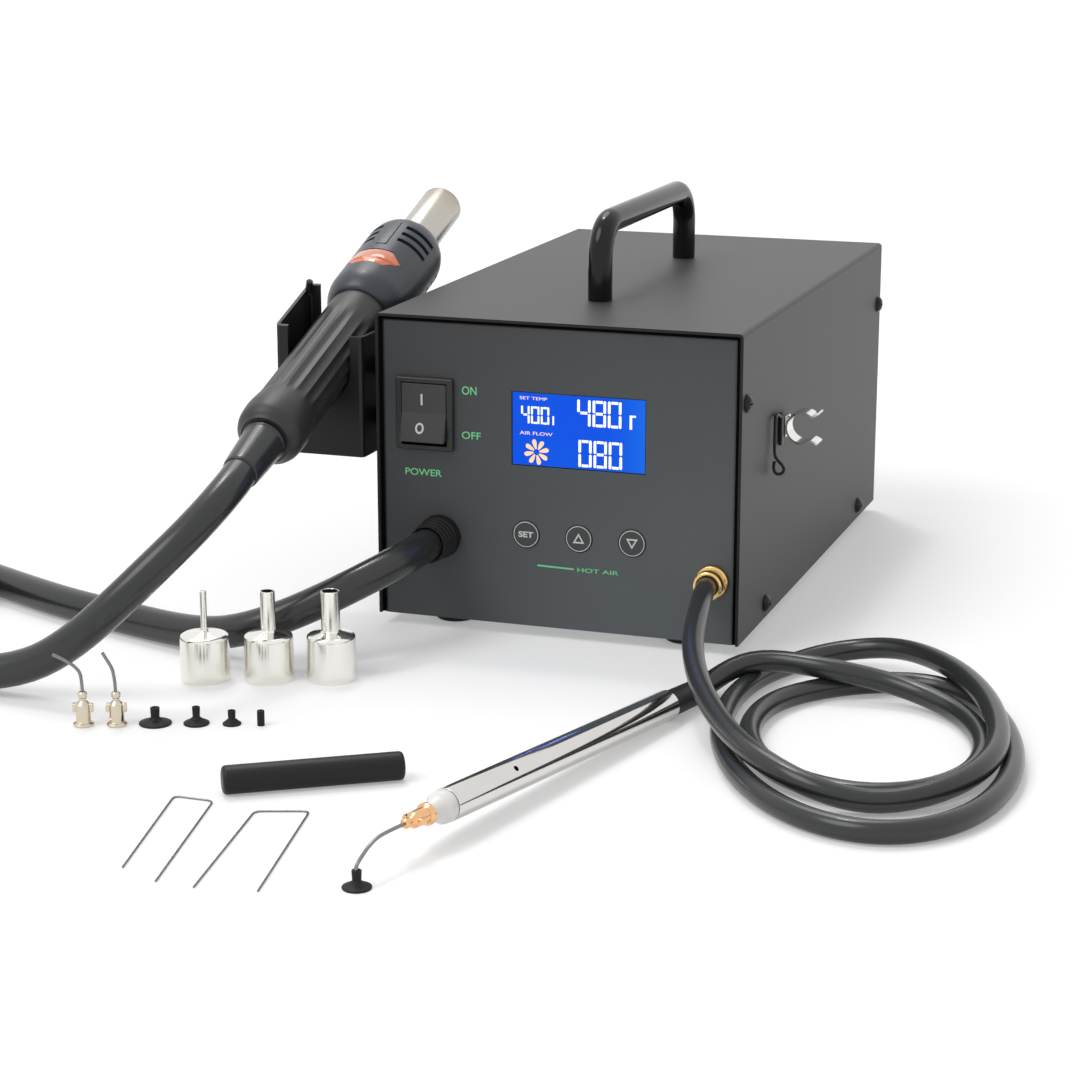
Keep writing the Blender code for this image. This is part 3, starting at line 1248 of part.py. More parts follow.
def make_needles():
    """Two spare needles that stand on their hubs and lean over to the left."""
    heading = math.radians(19.0)
    make_needle("needle_long", (-0.1346, -0.2992, 0.0), (0.0, 0.0, heading),
                [(-0.0001, 0.0, 0.0160), (-0.0006, 0.0, 0.0205), (-0.0024, 0.0, 0.0232),
                 (-0.0058, 0.0, 0.0257), (-0.0108, 0.0, 0.0283)])
    make_needle("needle_short", (-0.1226, -0.2950, 0.0), (0.0, 0.0, heading),
                [(-0.0002, 0.0, 0.0165), (-0.0006, 0.0, 0.0202), (-0.0014, 0.0, 0.0233),
                 (-0.0045, 0.0, 0.0289)])


def cup_profile(rim, stem, height, socket):
    """A suction cup: a flared lip that stands on the bench and a stem with a socket in its top."""
    bore = NEEDLE_RADIUS + GAP
    floor = height - socket
    return [(0.0, floor), (bore, floor), (bore, height), (stem, height), (stem * 0.9, height * 0.42),
            (stem + 0.0008, height * 0.30), (rim * 0.75, height * 0.19), (rim, 0.0007), (rim * 0.98, 0.0),
            (rim * 0.80, 0.0), (rim * 0.55, 0.0009), (0.0, 0.0012)]


def make_cups():
    """Three spare cups of different sizes and a short sleeve, standing in a row."""
    cups = (("cup_large", (-0.1094, -0.2890), 0.00635, 0.00184, 0.0067),
            ("cup_medium", (-0.0945, -0.2839), 0.00505, 0.00155, 0.0070),
            ("cup_small", (-0.0814, -0.2800), 0.00365, 0.00155, 0.0057))
    for name, spot, rim, stem, height in cups:
        turned(name, cup_profile(rim, stem, height, PEN_CUP_SOCKET), black_rubber(), location=(*spot, 0.0),
               steps=12)
    bore = SLEEVE_RADIUS * 0.5
    turned("tip_sleeve", [(bore, SLEEVE_HEIGHT), (SLEEVE_RADIUS, SLEEVE_HEIGHT), (SLEEVE_RADIUS, 0.0),
                          (bore, 0.0)], black_rubber(), location=(-0.0704, -0.2774, 0.0), steps=10)


def make_pen_tip():
    """The needle on the pen's nose, bent down into the suction cup that stands on the bench."""
    seat = pen_point(-PEN_NOSE_LENGTH - GAP)
    cup = pen_point(-PEN_CUP_REACH)
    turned("pen_cup", cup_profile(0.0050, 0.0017, PEN_CUP_HEIGHT, PEN_CUP_SOCKET), black_rubber(),
           location=(cup.x, cup.y, 0.0), steps=12)
    rotation = (math.radians(90.0) - PEN_TILT, 0.0, PEN_HEADING)
    to_hub = Euler(rotation).to_matrix().transposed()
    end = to_hub @ (Vector((cup.x, cup.y, PEN_CUP_HEIGHT - PEN_CUP_SOCKET + GAP)) - seat)
    upright = to_hub @ Vector((0.0, 0.0, 1.0))
    route = [(0.0, 0.0, end.z * 0.50), (0.0, -0.0004, end.z * 0.70), (0.0, -0.0019, end.z * 0.82),
             (0.0, -0.0038, end.z * 0.905), tuple(end + upright * 0.0035), tuple(end)]
    make_needle("pen_needle", seat, rotation, route)


def make_rod_and_wires():
    """The black rod and the two lifting wires, lying on the bench."""
    heading = math.radians(-57.1)
    round_off = 0.0014
    inner = ROD_RADIUS - round_off
    profile = [(0.0, ROD_LENGTH), (inner, ROD_LENGTH), (ROD_RADIUS, ROD_LENGTH - round_off),
               (ROD_RADIUS, round_off), (inner, 0.0), (0.0, 0.0)]
    turned("black_rod", profile, black_rubber(), location=(-0.0514, -0.3510, ROD_RADIUS),
           rotation=(math.radians(-90.0), 0.0, heading), steps=16)
    height = LIFT_WIRE_RADIUS
    wires = (("lifting_wire_1", ((-0.0518, -0.4251), (-0.0662, -0.3590), (-0.0509, -0.3591),
                                 (-0.0360, -0.4324))),
             ("lifting_wire_2", ((-0.0221, -0.4330), (-0.0328, -0.3636), (-0.0147, -0.3574),
                                 (-0.0011, -0.4293))))
    for name, (first, left, right, last) in wires:
        points = [Vector((*spot, height)) for spot in (first, left, right, last)]
        path = [points[0]]
        for before, corner, after in zip(points, points[1:], points[2:]):
            entry = corner + (before - corner).normalized() * 0.003
            leave = corner + (after - corner).normalized() * 0.003
            path += [entry, entry * 0.25 + corner * 0.5 + leave * 0.25, leave]
        path.append(points[-1])
        bent_rod(name, [tuple(point) for point in path], LIFT_WIRE_RADIUS, satin_steel(), roundness=1)


def build_station():
    make_base_tray()
    make_front_panel()
    make_rear_panel()
    make_cover()
    make_feet()
    make_cover_screws()
    make_carry_handle()
    make_switch()
    make_display_board()
    make_keys()
    make_hose_gland()
    make_vacuum_fitting()
    make_mains_inlet()
    make_air_pump()
    make_main_board()
    make_grip()
    make_head()
    make_lens()
    make_heater()
    make_hose_boot()
    make_holder()
    make_pen_clip()
    make_pen()
    make_vacuum_hose()
    make_hot_air_hose()
    make_nozzles()
    make_needles()
    make_cups()
    make_pen_tip()
    make_rod_and_wires()


build_station()
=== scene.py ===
"""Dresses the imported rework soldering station: finishes, fine round parts, print, hoses, floor and lamps.
Lengths in the piece functions are millimetres in the station's own frame, whose origin is on the bench
under the middle of the case, with +Z up and the front towards -Y."""

import math

import bmesh
import bpy
from bpy.props import FloatProperty, FloatVectorProperty, PointerProperty
from mathutils import Euler, Matrix, Vector


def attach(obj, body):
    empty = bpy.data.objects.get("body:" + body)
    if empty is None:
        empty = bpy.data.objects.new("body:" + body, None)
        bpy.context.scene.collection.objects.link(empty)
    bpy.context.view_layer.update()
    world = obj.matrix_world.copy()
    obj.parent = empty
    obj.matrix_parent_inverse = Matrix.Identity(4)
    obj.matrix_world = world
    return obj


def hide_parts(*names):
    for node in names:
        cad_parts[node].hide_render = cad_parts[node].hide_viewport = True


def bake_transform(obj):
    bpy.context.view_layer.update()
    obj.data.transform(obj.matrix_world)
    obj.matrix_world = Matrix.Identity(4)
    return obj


bl_info = {
    "name": "Rework soldering station",
    "version": (1, 0, 0),
    "blender": (4, 5, 0),
    "location": "View3D > Sidebar > Rework station",
    "description": "Builds the visible pieces of a rework soldering station around its packed frame",
    "category": "Object",
}

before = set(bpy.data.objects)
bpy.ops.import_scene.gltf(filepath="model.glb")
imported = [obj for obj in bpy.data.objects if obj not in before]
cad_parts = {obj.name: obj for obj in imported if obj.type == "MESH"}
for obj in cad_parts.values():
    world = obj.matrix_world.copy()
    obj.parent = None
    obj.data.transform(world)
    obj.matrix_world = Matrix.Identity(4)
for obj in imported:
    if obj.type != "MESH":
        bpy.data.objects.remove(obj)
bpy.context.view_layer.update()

MM = 0.001
STATION = Vector((0.02462, 0.14854, 0.0))

CAMERA_SPOT = (338.7, -1139.2, 322.0)
CAMERA_TURN = (75.30, 0.0, 18.97)
STUDIO_LIGHT = 0.50
FLOOR_GLOW = 0.27

CASE_TOP = 136.0
CASE_SIDE = 80.0
COVER_FRONT = -134.4
PANEL_FRONT = -133.5
GLASS_FRONT = -133.0
FORWARD = (math.radians(90.0), 0.0, 0.0)
HANDPIECE_SLOPE = math.radians(19.3)
HANDPIECE_PLACE = (-106.0, -191.0, 91.0)
HEAD_START, HEAD_END = 106.0, 172.0
HEAD_RADIUS, HEAD_WALL = 18.0, 2.4
LENS_MIDDLE = 129.5
PIPE_END = 214.0
PEN_HEADING = math.radians(-13.7)
PEN_TILT = math.radians(2.33)
PEN_LENGTH = 159.3
PEN_SHORTER = 10.5
PEN_TAIL = Vector((77.3, -212.2, 6.0))
NEEDLE_SEAT = -10.8
PEN_CUP = -50.5


def length_property(name, description, default, low, high):
    """A length in metres between two limits."""
    return FloatProperty(name=name, description=description, default=default, min=low, max=high, unit="LENGTH")


def colour_property(name, description, default):
    """A colour in linear light."""
    return FloatVectorProperty(name=name, description=description, default=default, subtype="COLOR", min=0.0,
                               max=1.0)


class StationSizes(bpy.types.PropertyGroup):
    """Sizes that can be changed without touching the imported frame."""

    hot_hose_radius: length_property("Hot-air hose radius", "Outer radius of the hot-air hose",
                                     0.0070, 0.004, 0.0072)
    vacuum_hose_radius: length_property("Vacuum hose radius", "Outer radius of the vacuum hose",
                                        0.0043, 0.002, 0.0045)
    handle_radius: length_property("Handle radius", "Radius of the carry handle's rod", 0.0053, 0.003, 0.006)
    flute_depth: length_property("Flute depth", "Depth of the flutes in the handpiece's grip", 0.0007, 0.0, 0.0015)
    print_thickness: length_property("Print thickness", "Thickness of the panel's ink", 0.00006, 0.00002, 0.0002)
    lens: FloatProperty(name="Camera lens", description="Focal length of the camera, in millimetres",
                        default=87.0, min=35.0, max=200.0)


class StationColours(bpy.types.PropertyGroup):
    """Base colours of the finishes, in linear light."""

    case_coat: colour_property("Case coat", "Powder coat of the cover", (0.050, 0.050, 0.049))
    panel: colour_property("Panel paint", "Paint of the front and rear panels", (0.052, 0.054, 0.057))
    hose: colour_property("Hose", "Rubber of both hoses", (0.028, 0.0294, 0.0308))
    grip: colour_property("Grip", "Moulding of the handpiece's grip", (0.0238, 0.0238, 0.02465))
    head: colour_property("Head", "Moulding of the handpiece's head", (0.036, 0.044, 0.056))
    lens: colour_property("Lens", "Indicator lens of the handpiece", (0.80, 0.17, 0.045))
    display: colour_property("Display", "Backlight of the display", (0.003, 0.085, 0.76))
    ink: colour_property("Panel ink", "Green ink of the panel's words", (0.20, 0.74, 0.32))
    steel: colour_property("Polished steel", "Colour of the polished steel", (0.80, 0.785, 0.76))
    floor: colour_property("Floor", "Colour of the floor", (0.80, 0.80, 0.80))


class Wire:
    """A shader socket that takes part in arithmetic. Each operation adds a Math node."""

    def __init__(self, finish, socket):
        self.finish = finish
        self.socket = socket

    def __add__(self, other):
        return self.finish.maths("ADD", self, other)

    def __sub__(self, other):
        return self.finish.maths("SUBTRACT", self, other)

    def __rsub__(self, other):
        return self.finish.maths("SUBTRACT", other, self)

    def __mul__(self, other):
        return self.finish.maths("MULTIPLY", self, other)

    def __truediv__(self, other):
        return self.finish.maths("DIVIDE", self, other)

    def __pow__(self, other):
        return self.finish.maths("POWER", self, other)

    __radd__ = __add__
    __rmul__ = __mul__


class Finish:
    """A material that is put together from nodes."""

    def __init__(self, name, tree=None):
        if tree is None:
            self.material = bpy.data.materials.new(name)
            self.material.use_nodes = True
            tree = self.material.node_tree
        self.tree = tree
        self.tree.nodes.clear()

    def node(self, kind, settings=None, values=None, output=0):
        """Adds a node, sets it, gives its sockets numbers or wires, and returns one of its outputs."""
        made = self.tree.nodes.new(kind)
        for name, setting in (settings or {}).items():
            setattr(made, name, setting)
        for name, value in (values or {}).items():
            if isinstance(value, Wire):
                self.tree.links.new(value.socket, made.inputs[name])
            else:
                made.inputs[name].default_value = value
        return Wire(self, made.outputs[output]) if made.outputs else None

    def maths(self, operation, *values):
        """A Math node on numbers and wires."""
        return self.node("ShaderNodeMath", {"operation": operation}, dict(enumerate(values)))

    def clamp(self, value):
        """The value, kept between 0 and 1."""
        return self.node("ShaderNodeClamp", values={"Value": value})

    def spot(self):
        """The place on the piece, in metres."""
        return self.node("ShaderNodeTexCoord", output=3)

    def parts(self):
        """The three coordinates of the place on the piece."""
        split = self.node("ShaderNodeSeparateXYZ", values={0: self.spot()})
        outputs = split.socket.node.outputs
        return [Wire(self, outputs[axis]) for axis in range(3)]

    def noise(self, scale, detail=2.0, stretch=(1.0, 1.0, 1.0)):
        """Noise with features about 1 / scale metres apart, finer along the axes that are stretched."""
        place = self.node("ShaderNodeVectorMath", {"operation": "MULTIPLY"}, {0: self.spot(), 1: stretch})
        return self.node("ShaderNodeTexNoise", values={"Vector": place, "Scale": scale, "Detail": detail})

    def mix(self, share, first, second):
        """A colour between two colours, each given as numbers or as a wire. They are the node's sockets 6 and 7."""
        values = {0: share}
        for index, colour in ((6, first), (7, second)):
            values[index] = colour if isinstance(colour, Wire) else (*colour, 1.0)
        return self.node("ShaderNodeMix", {"data_type": "RGBA"}, values, output=2)

    def bump(self, height, strength, distance):
        """A normal from a height, which is as deep as the distance in metres."""
        return self.node("ShaderNodeBump", values={"Height": height, "Strength": strength,
                                                   "Distance": distance})

    def surface(self, values):
        """Ends the material in one Principled shader."""
        shader = self.node("ShaderNodeBsdfPrincipled", values=values)
        self.node("ShaderNodeOutputMaterial", values={"Surface": shader})
        return self.material


def shade(colour, factor):
    """The colour, brighter or darker by a factor."""
    return tuple(min(1.0, channel * factor) for channel in colour)


def moulded(name, colour, roughness, grain=1400.0, depth=0.00003, cloud=18.0, spread=0.12, extra=None):
    """A moulded or sprayed finish: a fine grain, slow clouds of colour and handled patches of gloss.
    Grain and cloud are noise scales, depth is the grain's height in metres and spread the change of tone."""
    finish = Finish(name)
    fine = finish.noise(grain, 3.0)
    slow = finish.noise(cloud, 3.0)
    tone = finish.mix(slow * 0.7 + fine * 0.3, shade(colour, 1.0 - spread), shade(colour, 1.0 + spread))
    gloss = roughness - 0.05 + slow * 0.06 + fine * 0.04
    values = {"Base Color": tone, "Roughness": gloss, "Normal": finish.bump(fine, 0.35, depth)}
    values.update(extra or {})
    return finish.surface(values)


def turned_metal(name, colour, roughness, lines=(40.0, 40.0, 2600.0), depth=0.000008, tint=None):
    """A turned or drawn metal with fine lines round its axis, light wear and a slight change of tone."""
    finish = Finish(name)
    line = finish.noise(1.0, 4.0, lines)
    patch = finish.noise(60.0, 3.0)
    tone = finish.mix(patch, shade(colour, 0.94), shade(colour, 1.04))
    if tint:
        tone = tint(finish, tone)
    gloss = roughness + (line - 0.5) * 0.10 + (patch - 0.5) * 0.08
    return finish.surface({"Base Color": tone, "Metallic": 1.0, "Roughness": gloss,
                           "Normal": finish.bump(line, 0.20, depth)})


def case_coat(colours):
    """Powder coat: an orange-peel skin of fine specks, slow clouds of tone and a near-black front edge, which is
    painted shade of the gap round the front panel.
    """
    finish = Finish("charcoal_powder_coat")
    speck = finish.noise(2100.0, 3.0)
    peel = finish.noise(650.0, 2.0)
    cloud = finish.noise(7.0, 3.0)
    base = tuple(colours.case_coat)
    tone = finish.mix(cloud * 0.75 + speck * 0.25, shade(base, 0.86), shade(base, 1.12))
    _, y, _ = finish.parts()
    # Painted shade: the cover's front edge is made near-black to stand for the shade in the gap round the front
    # panel.
    edge = finish.clamp((STATION.y + COVER_FRONT * MM - y) * 4000.0)
    tone = finish.mix(edge, tone, (0.004, 0.004, 0.004))
    return finish.surface({"Base Color": tone, "Roughness": 0.44 + speck * 0.10, "Specular IOR Level": 0.34,
                           "Normal": finish.bump(speck * 0.6 + peel * 0.4, 0.45, 0.00006)})


def panel_paint(colours):
    """The panel's paint with painted light and shade: darker and bluer at its upper left as painted shade, and a
    little greener and lighter lower down as painted light.
    """
    finish = Finish("panel_paint")
    x, _, z = finish.parts()
    side = CASE_SIDE * MM
    across = finish.clamp((x - (STATION.x - side)) / (2 * side))
    down = finish.clamp(1.0 - z / (CASE_TOP * MM))
    speck = finish.noise(1900.0, 3.0)
    cloud = finish.noise(14.0, 2.0)
    base = tuple(colours.panel)
    # Painted shade: the left part of the panel is darker and bluer.
    painted_shade_left = finish.mix(finish.clamp(across * 1.6), shade(base, 0.55), shade(base, 1.0))
    # Painted light: lower down, and most towards the right, the panel is lighter and a little greener.
    green = finish.mix(finish.clamp(down * 1.1 * across + down * 0.3), painted_shade_left,
                       tuple(a * b for a, b in zip(base, (2.15, 2.42, 2.50))))
    tone = finish.mix(finish.clamp(cloud * 0.30 + speck * 0.16), green, shade(base, 1.05))
    return finish.surface({"Base Color": tone, "Roughness": 0.46 + speck * 0.10,
                           "Normal": finish.bump(speck, 0.30, 0.00004)})


def heat_tint(finish, tone):
    """Straw and bronze heat colours towards the outlet end of the pipe."""
    _, _, along = finish.parts()
    reach = 0.028
    hot = finish.clamp((along - (PIPE_END * MM - reach)) / reach)
    streak = finish.noise(1.0, 3.0, (500.0, 500.0, 30.0))
    straw = finish.mix(hot * 0.45 + streak * 0.25, tone, (0.50, 0.43, 0.33))
    return finish.mix(hot ** 4 * 0.55, straw, (0.30, 0.25, 0.22))


def board_finish():
    """Green board with paler tracks, tinned pads and a slight weave."""
    finish = Finish("circuit_board")
    track = finish.node("ShaderNodeTexVoronoi", {"feature": "DISTANCE_TO_EDGE"},
                        {"Vector": finish.spot(), "Scale": 190.0})
    line = finish.clamp(1.0 - track * 12.0)
    pad = finish.node("ShaderNodeTexVoronoi", values={"Vector": finish.spot(), "Scale": 260.0})
    dot = finish.clamp(1.0 - pad * 6.0)
    green = finish.mix(line * 0.6, (0.016, 0.11, 0.045), (0.05, 0.24, 0.10))
    tone = finish.mix(dot, green, (0.62, 0.60, 0.55))
    return finish.surface({"Base Color": tone, "Roughness": 0.35 + line * 0.2, "Metallic": dot * 0.8,
                           "Normal": finish.bump(line, 0.4, 0.00005)})


def display_finish(colours):
    """A backlit blue glass that is a little brighter towards its right side."""
    finish = Finish("display_glass")
    x, _, z = finish.parts()
    right = finish.clamp((x - (STATION.x - 0.020)) / 0.058)
    drift = finish.noise(30.0, 2.0)
    blue = tuple(colours.display)
    low = finish.clamp(1.0 - (z - 0.075) / 0.03)
    light = right ** 2 * (0.50 + low * 0.50) + (drift - 0.5) * 0.12
    tone = finish.mix(finish.clamp(light), blue, (0.03, 0.40, 1.0))
    return finish.surface({"Base Color": finish.mix(drift, (0.0, 0.004, 0.03), (0.0, 0.006, 0.05)),
                           "Roughness": 0.12 + drift * 0.1, "Emission Color": tone, "Emission Strength": 1.0,
                           "Specular IOR Level": 0.08})


def glowing(name, colour, strength):
    """Lit segments of the display, with the faint unevenness of a cheap backlight."""
    finish = Finish(name)
    drift = finish.noise(220.0, 2.0)
    tone = finish.mix(drift, shade(colour, 0.82), colour)
    return finish.surface({"Base Color": tone, "Roughness": 0.4, "Emission Color": tone,
                           "Emission Strength": strength})


def soot(name):
    """Burnt soot, matt and crumbly, that also stands for painted shade in the nozzles' bores and behind the head's
    slots.
    """
    finish = Finish(name)
    speck = finish.noise(2600.0, 4.0)
    tone = finish.mix(speck, (0.003, 0.003, 0.003), (0.016, 0.014, 0.012))
    return finish.surface({"Base Color": tone, "Roughness": 0.75 + speck * 0.2,
                           "Normal": finish.bump(speck, 0.5, 0.00003)})


def all_finishes(colours):
    """Every finish of the station by its short key."""
    steel = tuple(colours.steel)
    return {
        "case": case_coat(colours),
        "panel": panel_paint(colours),
        "hose": moulded("hose_rubber", tuple(colours.hose), 0.24, 900.0, 0.000003, 35.0, 0.12,
                        {"Specular IOR Level": 0.50}),
        "grip": moulded("grip_plastic", tuple(colours.grip), 0.43, 2300.0, 0.00003, 40.0),
        "head": moulded("head_plastic", tuple(colours.head), 0.34, 2300.0, 0.00003, 40.0),
        "black": moulded("black_plastic", (0.012, 0.012, 0.013), 0.34, 2000.0),
        "rocker": moulded("rocker_plastic", (0.040, 0.040, 0.041), 0.36, 2400.0),
        "gloss": moulded("black_gloss", (0.005, 0.005, 0.005), 0.14, 500.0, 0.00001, 30.0, 0.2,
                         {"Specular IOR Level": 0.30}),
        "painted": moulded("black_steel", (0.010, 0.010, 0.011), 0.38, 1700.0, 0.00005, 25.0, 0.15,
                           {"Specular IOR Level": 0.32}),
        "screw": moulded("black_oxide", (0.012, 0.012, 0.013), 0.30, 1200.0, 0.00002, 90.0, 0.3,
                         {"Metallic": 0.6}),
        "rubber": moulded("black_rubber", (0.008, 0.008, 0.009), 0.52, 1500.0, 0.00004, 60.0, 0.25,
                          {"Specular IOR Level": 0.3}),
        # Painted shade: near-black and matt, for the strips that stand for the shade in the gaps round both panels.
        "gap": moulded("painted_gap_shade", (0.002, 0.002, 0.002), 0.85, 1500.0, 0.00004, 60.0, 0.25,
                       {"Specular IOR Level": 0.05}),
        "rod": moulded("rod_rubber", (0.007, 0.008, 0.0075), 0.46, 1300.0, 0.00004, 50.0, 0.2,
                       {"Specular IOR Level": 0.3}),
        "white": moulded("white_plastic", (0.90, 0.89, 0.86), 0.30, 1600.0, 0.00002, 80.0, 0.04),
        "ceramic": moulded("ceramic", (0.55, 0.50, 0.43), 0.72, 1800.0, 0.00006, 150.0, 0.12),
        "lens": moulded("orange_lens", tuple(colours.lens), 0.16, 300.0, 0.00002, 120.0, 0.10,
                        {"Coat Weight": 0.8, "Coat Roughness": 0.05, "Subsurface Weight": 0.15}),
        "casting": moulded("pump_casting", (0.30, 0.31, 0.32), 0.42, 1100.0, 0.00012, 45.0, 0.15,
                           {"Metallic": 0.7}),
        "ink": moulded("green_ink", tuple(colours.ink), 0.42, 2500.0, 0.00001, 200.0, 0.10),
        "pale_ink": moulded("pale_ink", (0.66, 0.70, 0.66), 0.42, 2500.0, 0.00001, 200.0, 0.08),
        "bright": turned_metal("bright_steel", steel, 0.13),
        "nozzle": turned_metal("nozzle_steel", (0.86, 0.84, 0.79), 0.17, (60.0, 60.0, 2200.0), 0.000006),
        "pen": turned_metal("pen_steel", shade(steel, 0.86), 0.09, (900.0, 900.0, 12.0)),
        "satin": turned_metal("satin_steel", (0.52, 0.50, 0.47), 0.27, (700.0, 700.0, 60.0), 0.000006,
                              heat_tint),
        "wire": turned_metal("wire_steel", (0.24, 0.235, 0.23), 0.28, (300.0, 300.0, 300.0)),
        "zinc": turned_metal("zinc_steel", (0.55, 0.56, 0.57), 0.34, (500.0, 30.0, 500.0), 0.00002),
        "brass": turned_metal("brass", (0.78, 0.54, 0.22), 0.20),
        "hub": turned_metal("hub_metal", (0.66, 0.59, 0.47), 0.16),
        "copper": turned_metal("copper_metal", (0.85, 0.50, 0.26), 0.16),
        "board": board_finish(),
        "display": display_finish(colours),
        "segment": glowing("display_segment", (0.86, 0.90, 1.0), 0.75),
        "segment_warm": glowing("display_caption", (1.0, 0.74, 0.76), 0.6),
        "segment_orange": glowing("display_fan", (1.0, 0.66, 0.36), 0.6),
        # Soot and painted shade, for the dark liners in the nozzles' bores and inside the head.
        "soot": soot("soot"),
    }


FINISHES = {}


def finish_of(key):
    """One of the station's finishes, all of which are made on the first call."""
    if not FINISHES:
        FINISHES.update(all_finishes(bpy.context.scene.rework_colours))
    return FINISHES[key]


def to_row(x, y, z):
    """A point of the station's frame in the row frame, in metres."""
    return STATION + Vector((x, y, z)) * MM


def at(x, y, z, turn=(0.0, 0.0, 0.0)):
    """The place and turn of a piece, from its origin in the station's frame."""
    return Matrix.Translation(to_row(x, y, z)) @ Euler(turn).to_matrix().to_4x4()


def added(name, data):
    """A new object in the scene."""
    item = bpy.data.objects.new(name, data)
    bpy.context.scene.collection.objects.link(item)
    return item


def dress(name, mesh, place, finish, body="root", stands_for=()):
    """Shows a mesh as a piece with a finish, lets it ride on a body and hides the nodes that it stands for."""
    mesh.materials.clear()
    mesh.materials.append(finish_of(finish))
    item = added(name, mesh)
    item.matrix_world = place
    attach(item, body)
    if stands_for:
        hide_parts(*stands_for)
    return item


def dress_turned(name, profile, steps, rounding, place, finish, body="root", stands_for=()):
    """Shows a turned piece."""
    return dress(name, turned(name, profile, steps, rounding), place, finish, body, stands_for)


def dress_wire(name, path, radius, sides, finish, stands_for=()):
    """Shows a round wire or rod along a path in the row frame."""
    return dress(name, tube(name, path, radius, sides), Matrix.Identity(4), finish, stands_for=stands_for)


def repaint(node, finish):
    """Gives a CAD node that is shown as it is its full finish."""
    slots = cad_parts[node].data.materials
    if len(slots):
        for index in range(len(slots)):
            slots[index] = finish_of(finish)
    else:
        slots.append(finish_of(finish))


def finished_mesh(form, name, angle=35.0):
    """A mesh from a form, smooth but for edges sharper than the angle in degrees."""
    mesh = bpy.data.meshes.new(name)
    bmesh.ops.remove_doubles(form, verts=form.verts, dist=1e-7)
    bmesh.ops.recalc_face_normals(form, faces=form.faces)
    form.to_mesh(mesh)
    form.free()
    mesh.shade_smooth()
    mesh.set_sharp_from_angle(angle=math.radians(angle))
    return mesh


def around(count):
    """The angles of a number of even steps round a full turn."""
    return [2 * math.pi * index / count for index in range(count)]


def skin(form, rings):
    """Faces between closed rings of vertices, and a face at either end."""
    for lower, upper in zip(rings, rings[1:]):
        for index in range(len(lower)):
            after = (index + 1) % len(lower)
            form.faces.new((lower[index], lower[after], upper[after], upper[index]))
    form.faces.new(rings[0])
    form.faces.new(rings[-1])


def corner_arc(start, corner, end, steps):
    """Points round a corner, from its start to its end."""
    shares = [index / steps for index in range(steps + 1)]
    return [start * (1 - t) ** 2 + corner * 2 * t * (1 - t) + end * t ** 2 for t in shares]


def rounded(profile, radius, steps=3):
    """The profile with its corners rounded, apart from those on the axis."""
    points = [profile[0]]
    for before, corner, after in zip(profile, profile[1:], profile[2:]):
        c = Vector(corner)
        back, on = Vector(before) - c, Vector(after) - c
        size = min(radius, back.length * 0.45, on.length * 0.45)
        if corner[0] <= 0.0 or size < 0.01:
            points.append(corner)
        else:
            points += [tuple(point) for point in
                       corner_arc(c + back.normalized() * size, c, c + on.normalized() * size, steps)]
    points.append(profile[-1])
    return points


def turned(name, profile, steps=64, rounding=0.0):
    """A turned solid about local Z from (radius, height) points in millimetres."""
    closed = profile[0][0] > 0.0 or profile[-1][0] > 0.0
    if closed:
        profile = list(profile) + [profile[0]]
    if rounding:
        profile = rounded(profile, rounding)
    form = bmesh.new()
    rings = []
    for radius, height in profile:
        if radius <= 0.0:
            rings.append([form.verts.new((0.0, 0.0, height * MM))] * steps)
            continue
        rings.append([form.verts.new((radius * MM * math.cos(turn), radius * MM * math.sin(turn), height * MM))
                      for turn in around(steps)])
    for lower, upper in zip(rings, rings[1:]):
        for index in range(steps):
            after = (index + 1) % steps
            corners = []
            for vertex in (lower[index], lower[after], upper[after], upper[index]):
                if vertex not in corners:
                    corners.append(vertex)
            if len(corners) > 2:
                form.faces.new(corners)
    return finished_mesh(form, name)


def smooth_route(points, spacing):
    """Points in metres along a Catmull-Rom curve through a route given in metres."""
    knots = [Vector(point) for point in points]
    knots = [knots[0] * 2 - knots[1]] + knots + [knots[-1] * 2 - knots[-2]]
    route = []
    for first, start, end, last in zip(knots, knots[1:], knots[2:], knots[3:]):
        count = max(1, round((end - start).length / spacing))
        for index in range(count):
            t = index / count
            route.append(0.5 * (2 * start + (end - first) * t
                                + (2 * first - 5 * start + 4 * end - last) * t * t
                                + (3 * start - first - 3 * end + last) * t * t * t))
    route.append(knots[-2])
    return route


def relaxed(points, rounds):
    """The route with its wriggles eased out, its ends and their neighbours held."""
    points = [point.copy() for point in points]
    for _ in range(rounds):
        eased = [(before + point * 2 + after) / 4
                 for before, point, after in zip(points[1:], points[2:], points[3:])]
        points[2:-1] = eased
    return points


def tube(name, points, radius, sides=24):
    """A round tube with closed ends along points, all in metres."""
    form = bmesh.new()
    ahead = [(b - a).normalized() for a, b in zip(points, points[1:])]
    tangents = [ahead[0]] + [(a + b).normalized() for a, b in zip(ahead, ahead[1:])] + [ahead[-1]]
    side = tangents[0].orthogonal().normalized()
    rings = []
    for point, tangent in zip(points, tangents):
        side = (side - tangent * side.dot(tangent)).normalized()
        up = tangent.cross(side)
        rings.append([form.verts.new(point + (side * math.cos(turn) + up * math.sin(turn)) * radius)
                      for turn in around(sides)])
    skin(form, rings)
    return finished_mesh(form, name, 60.0)


def block(name, size, centre=(0.0, 0.0, 0.0), rounding=0.3):
    """A block with rounded edges, in millimetres."""
    form = bmesh.new()
    bmesh.ops.create_cube(form, size=1.0)
    bmesh.ops.scale(form, vec=Vector(size) * MM, verts=form.verts)
    bmesh.ops.translate(form, vec=Vector(centre) * MM, verts=form.verts)
    bmesh.ops.bevel(form, geom=form.edges[:], offset=rounding * MM, segments=3, profile=0.5, affect="EDGES")
    return finished_mesh(form, name)


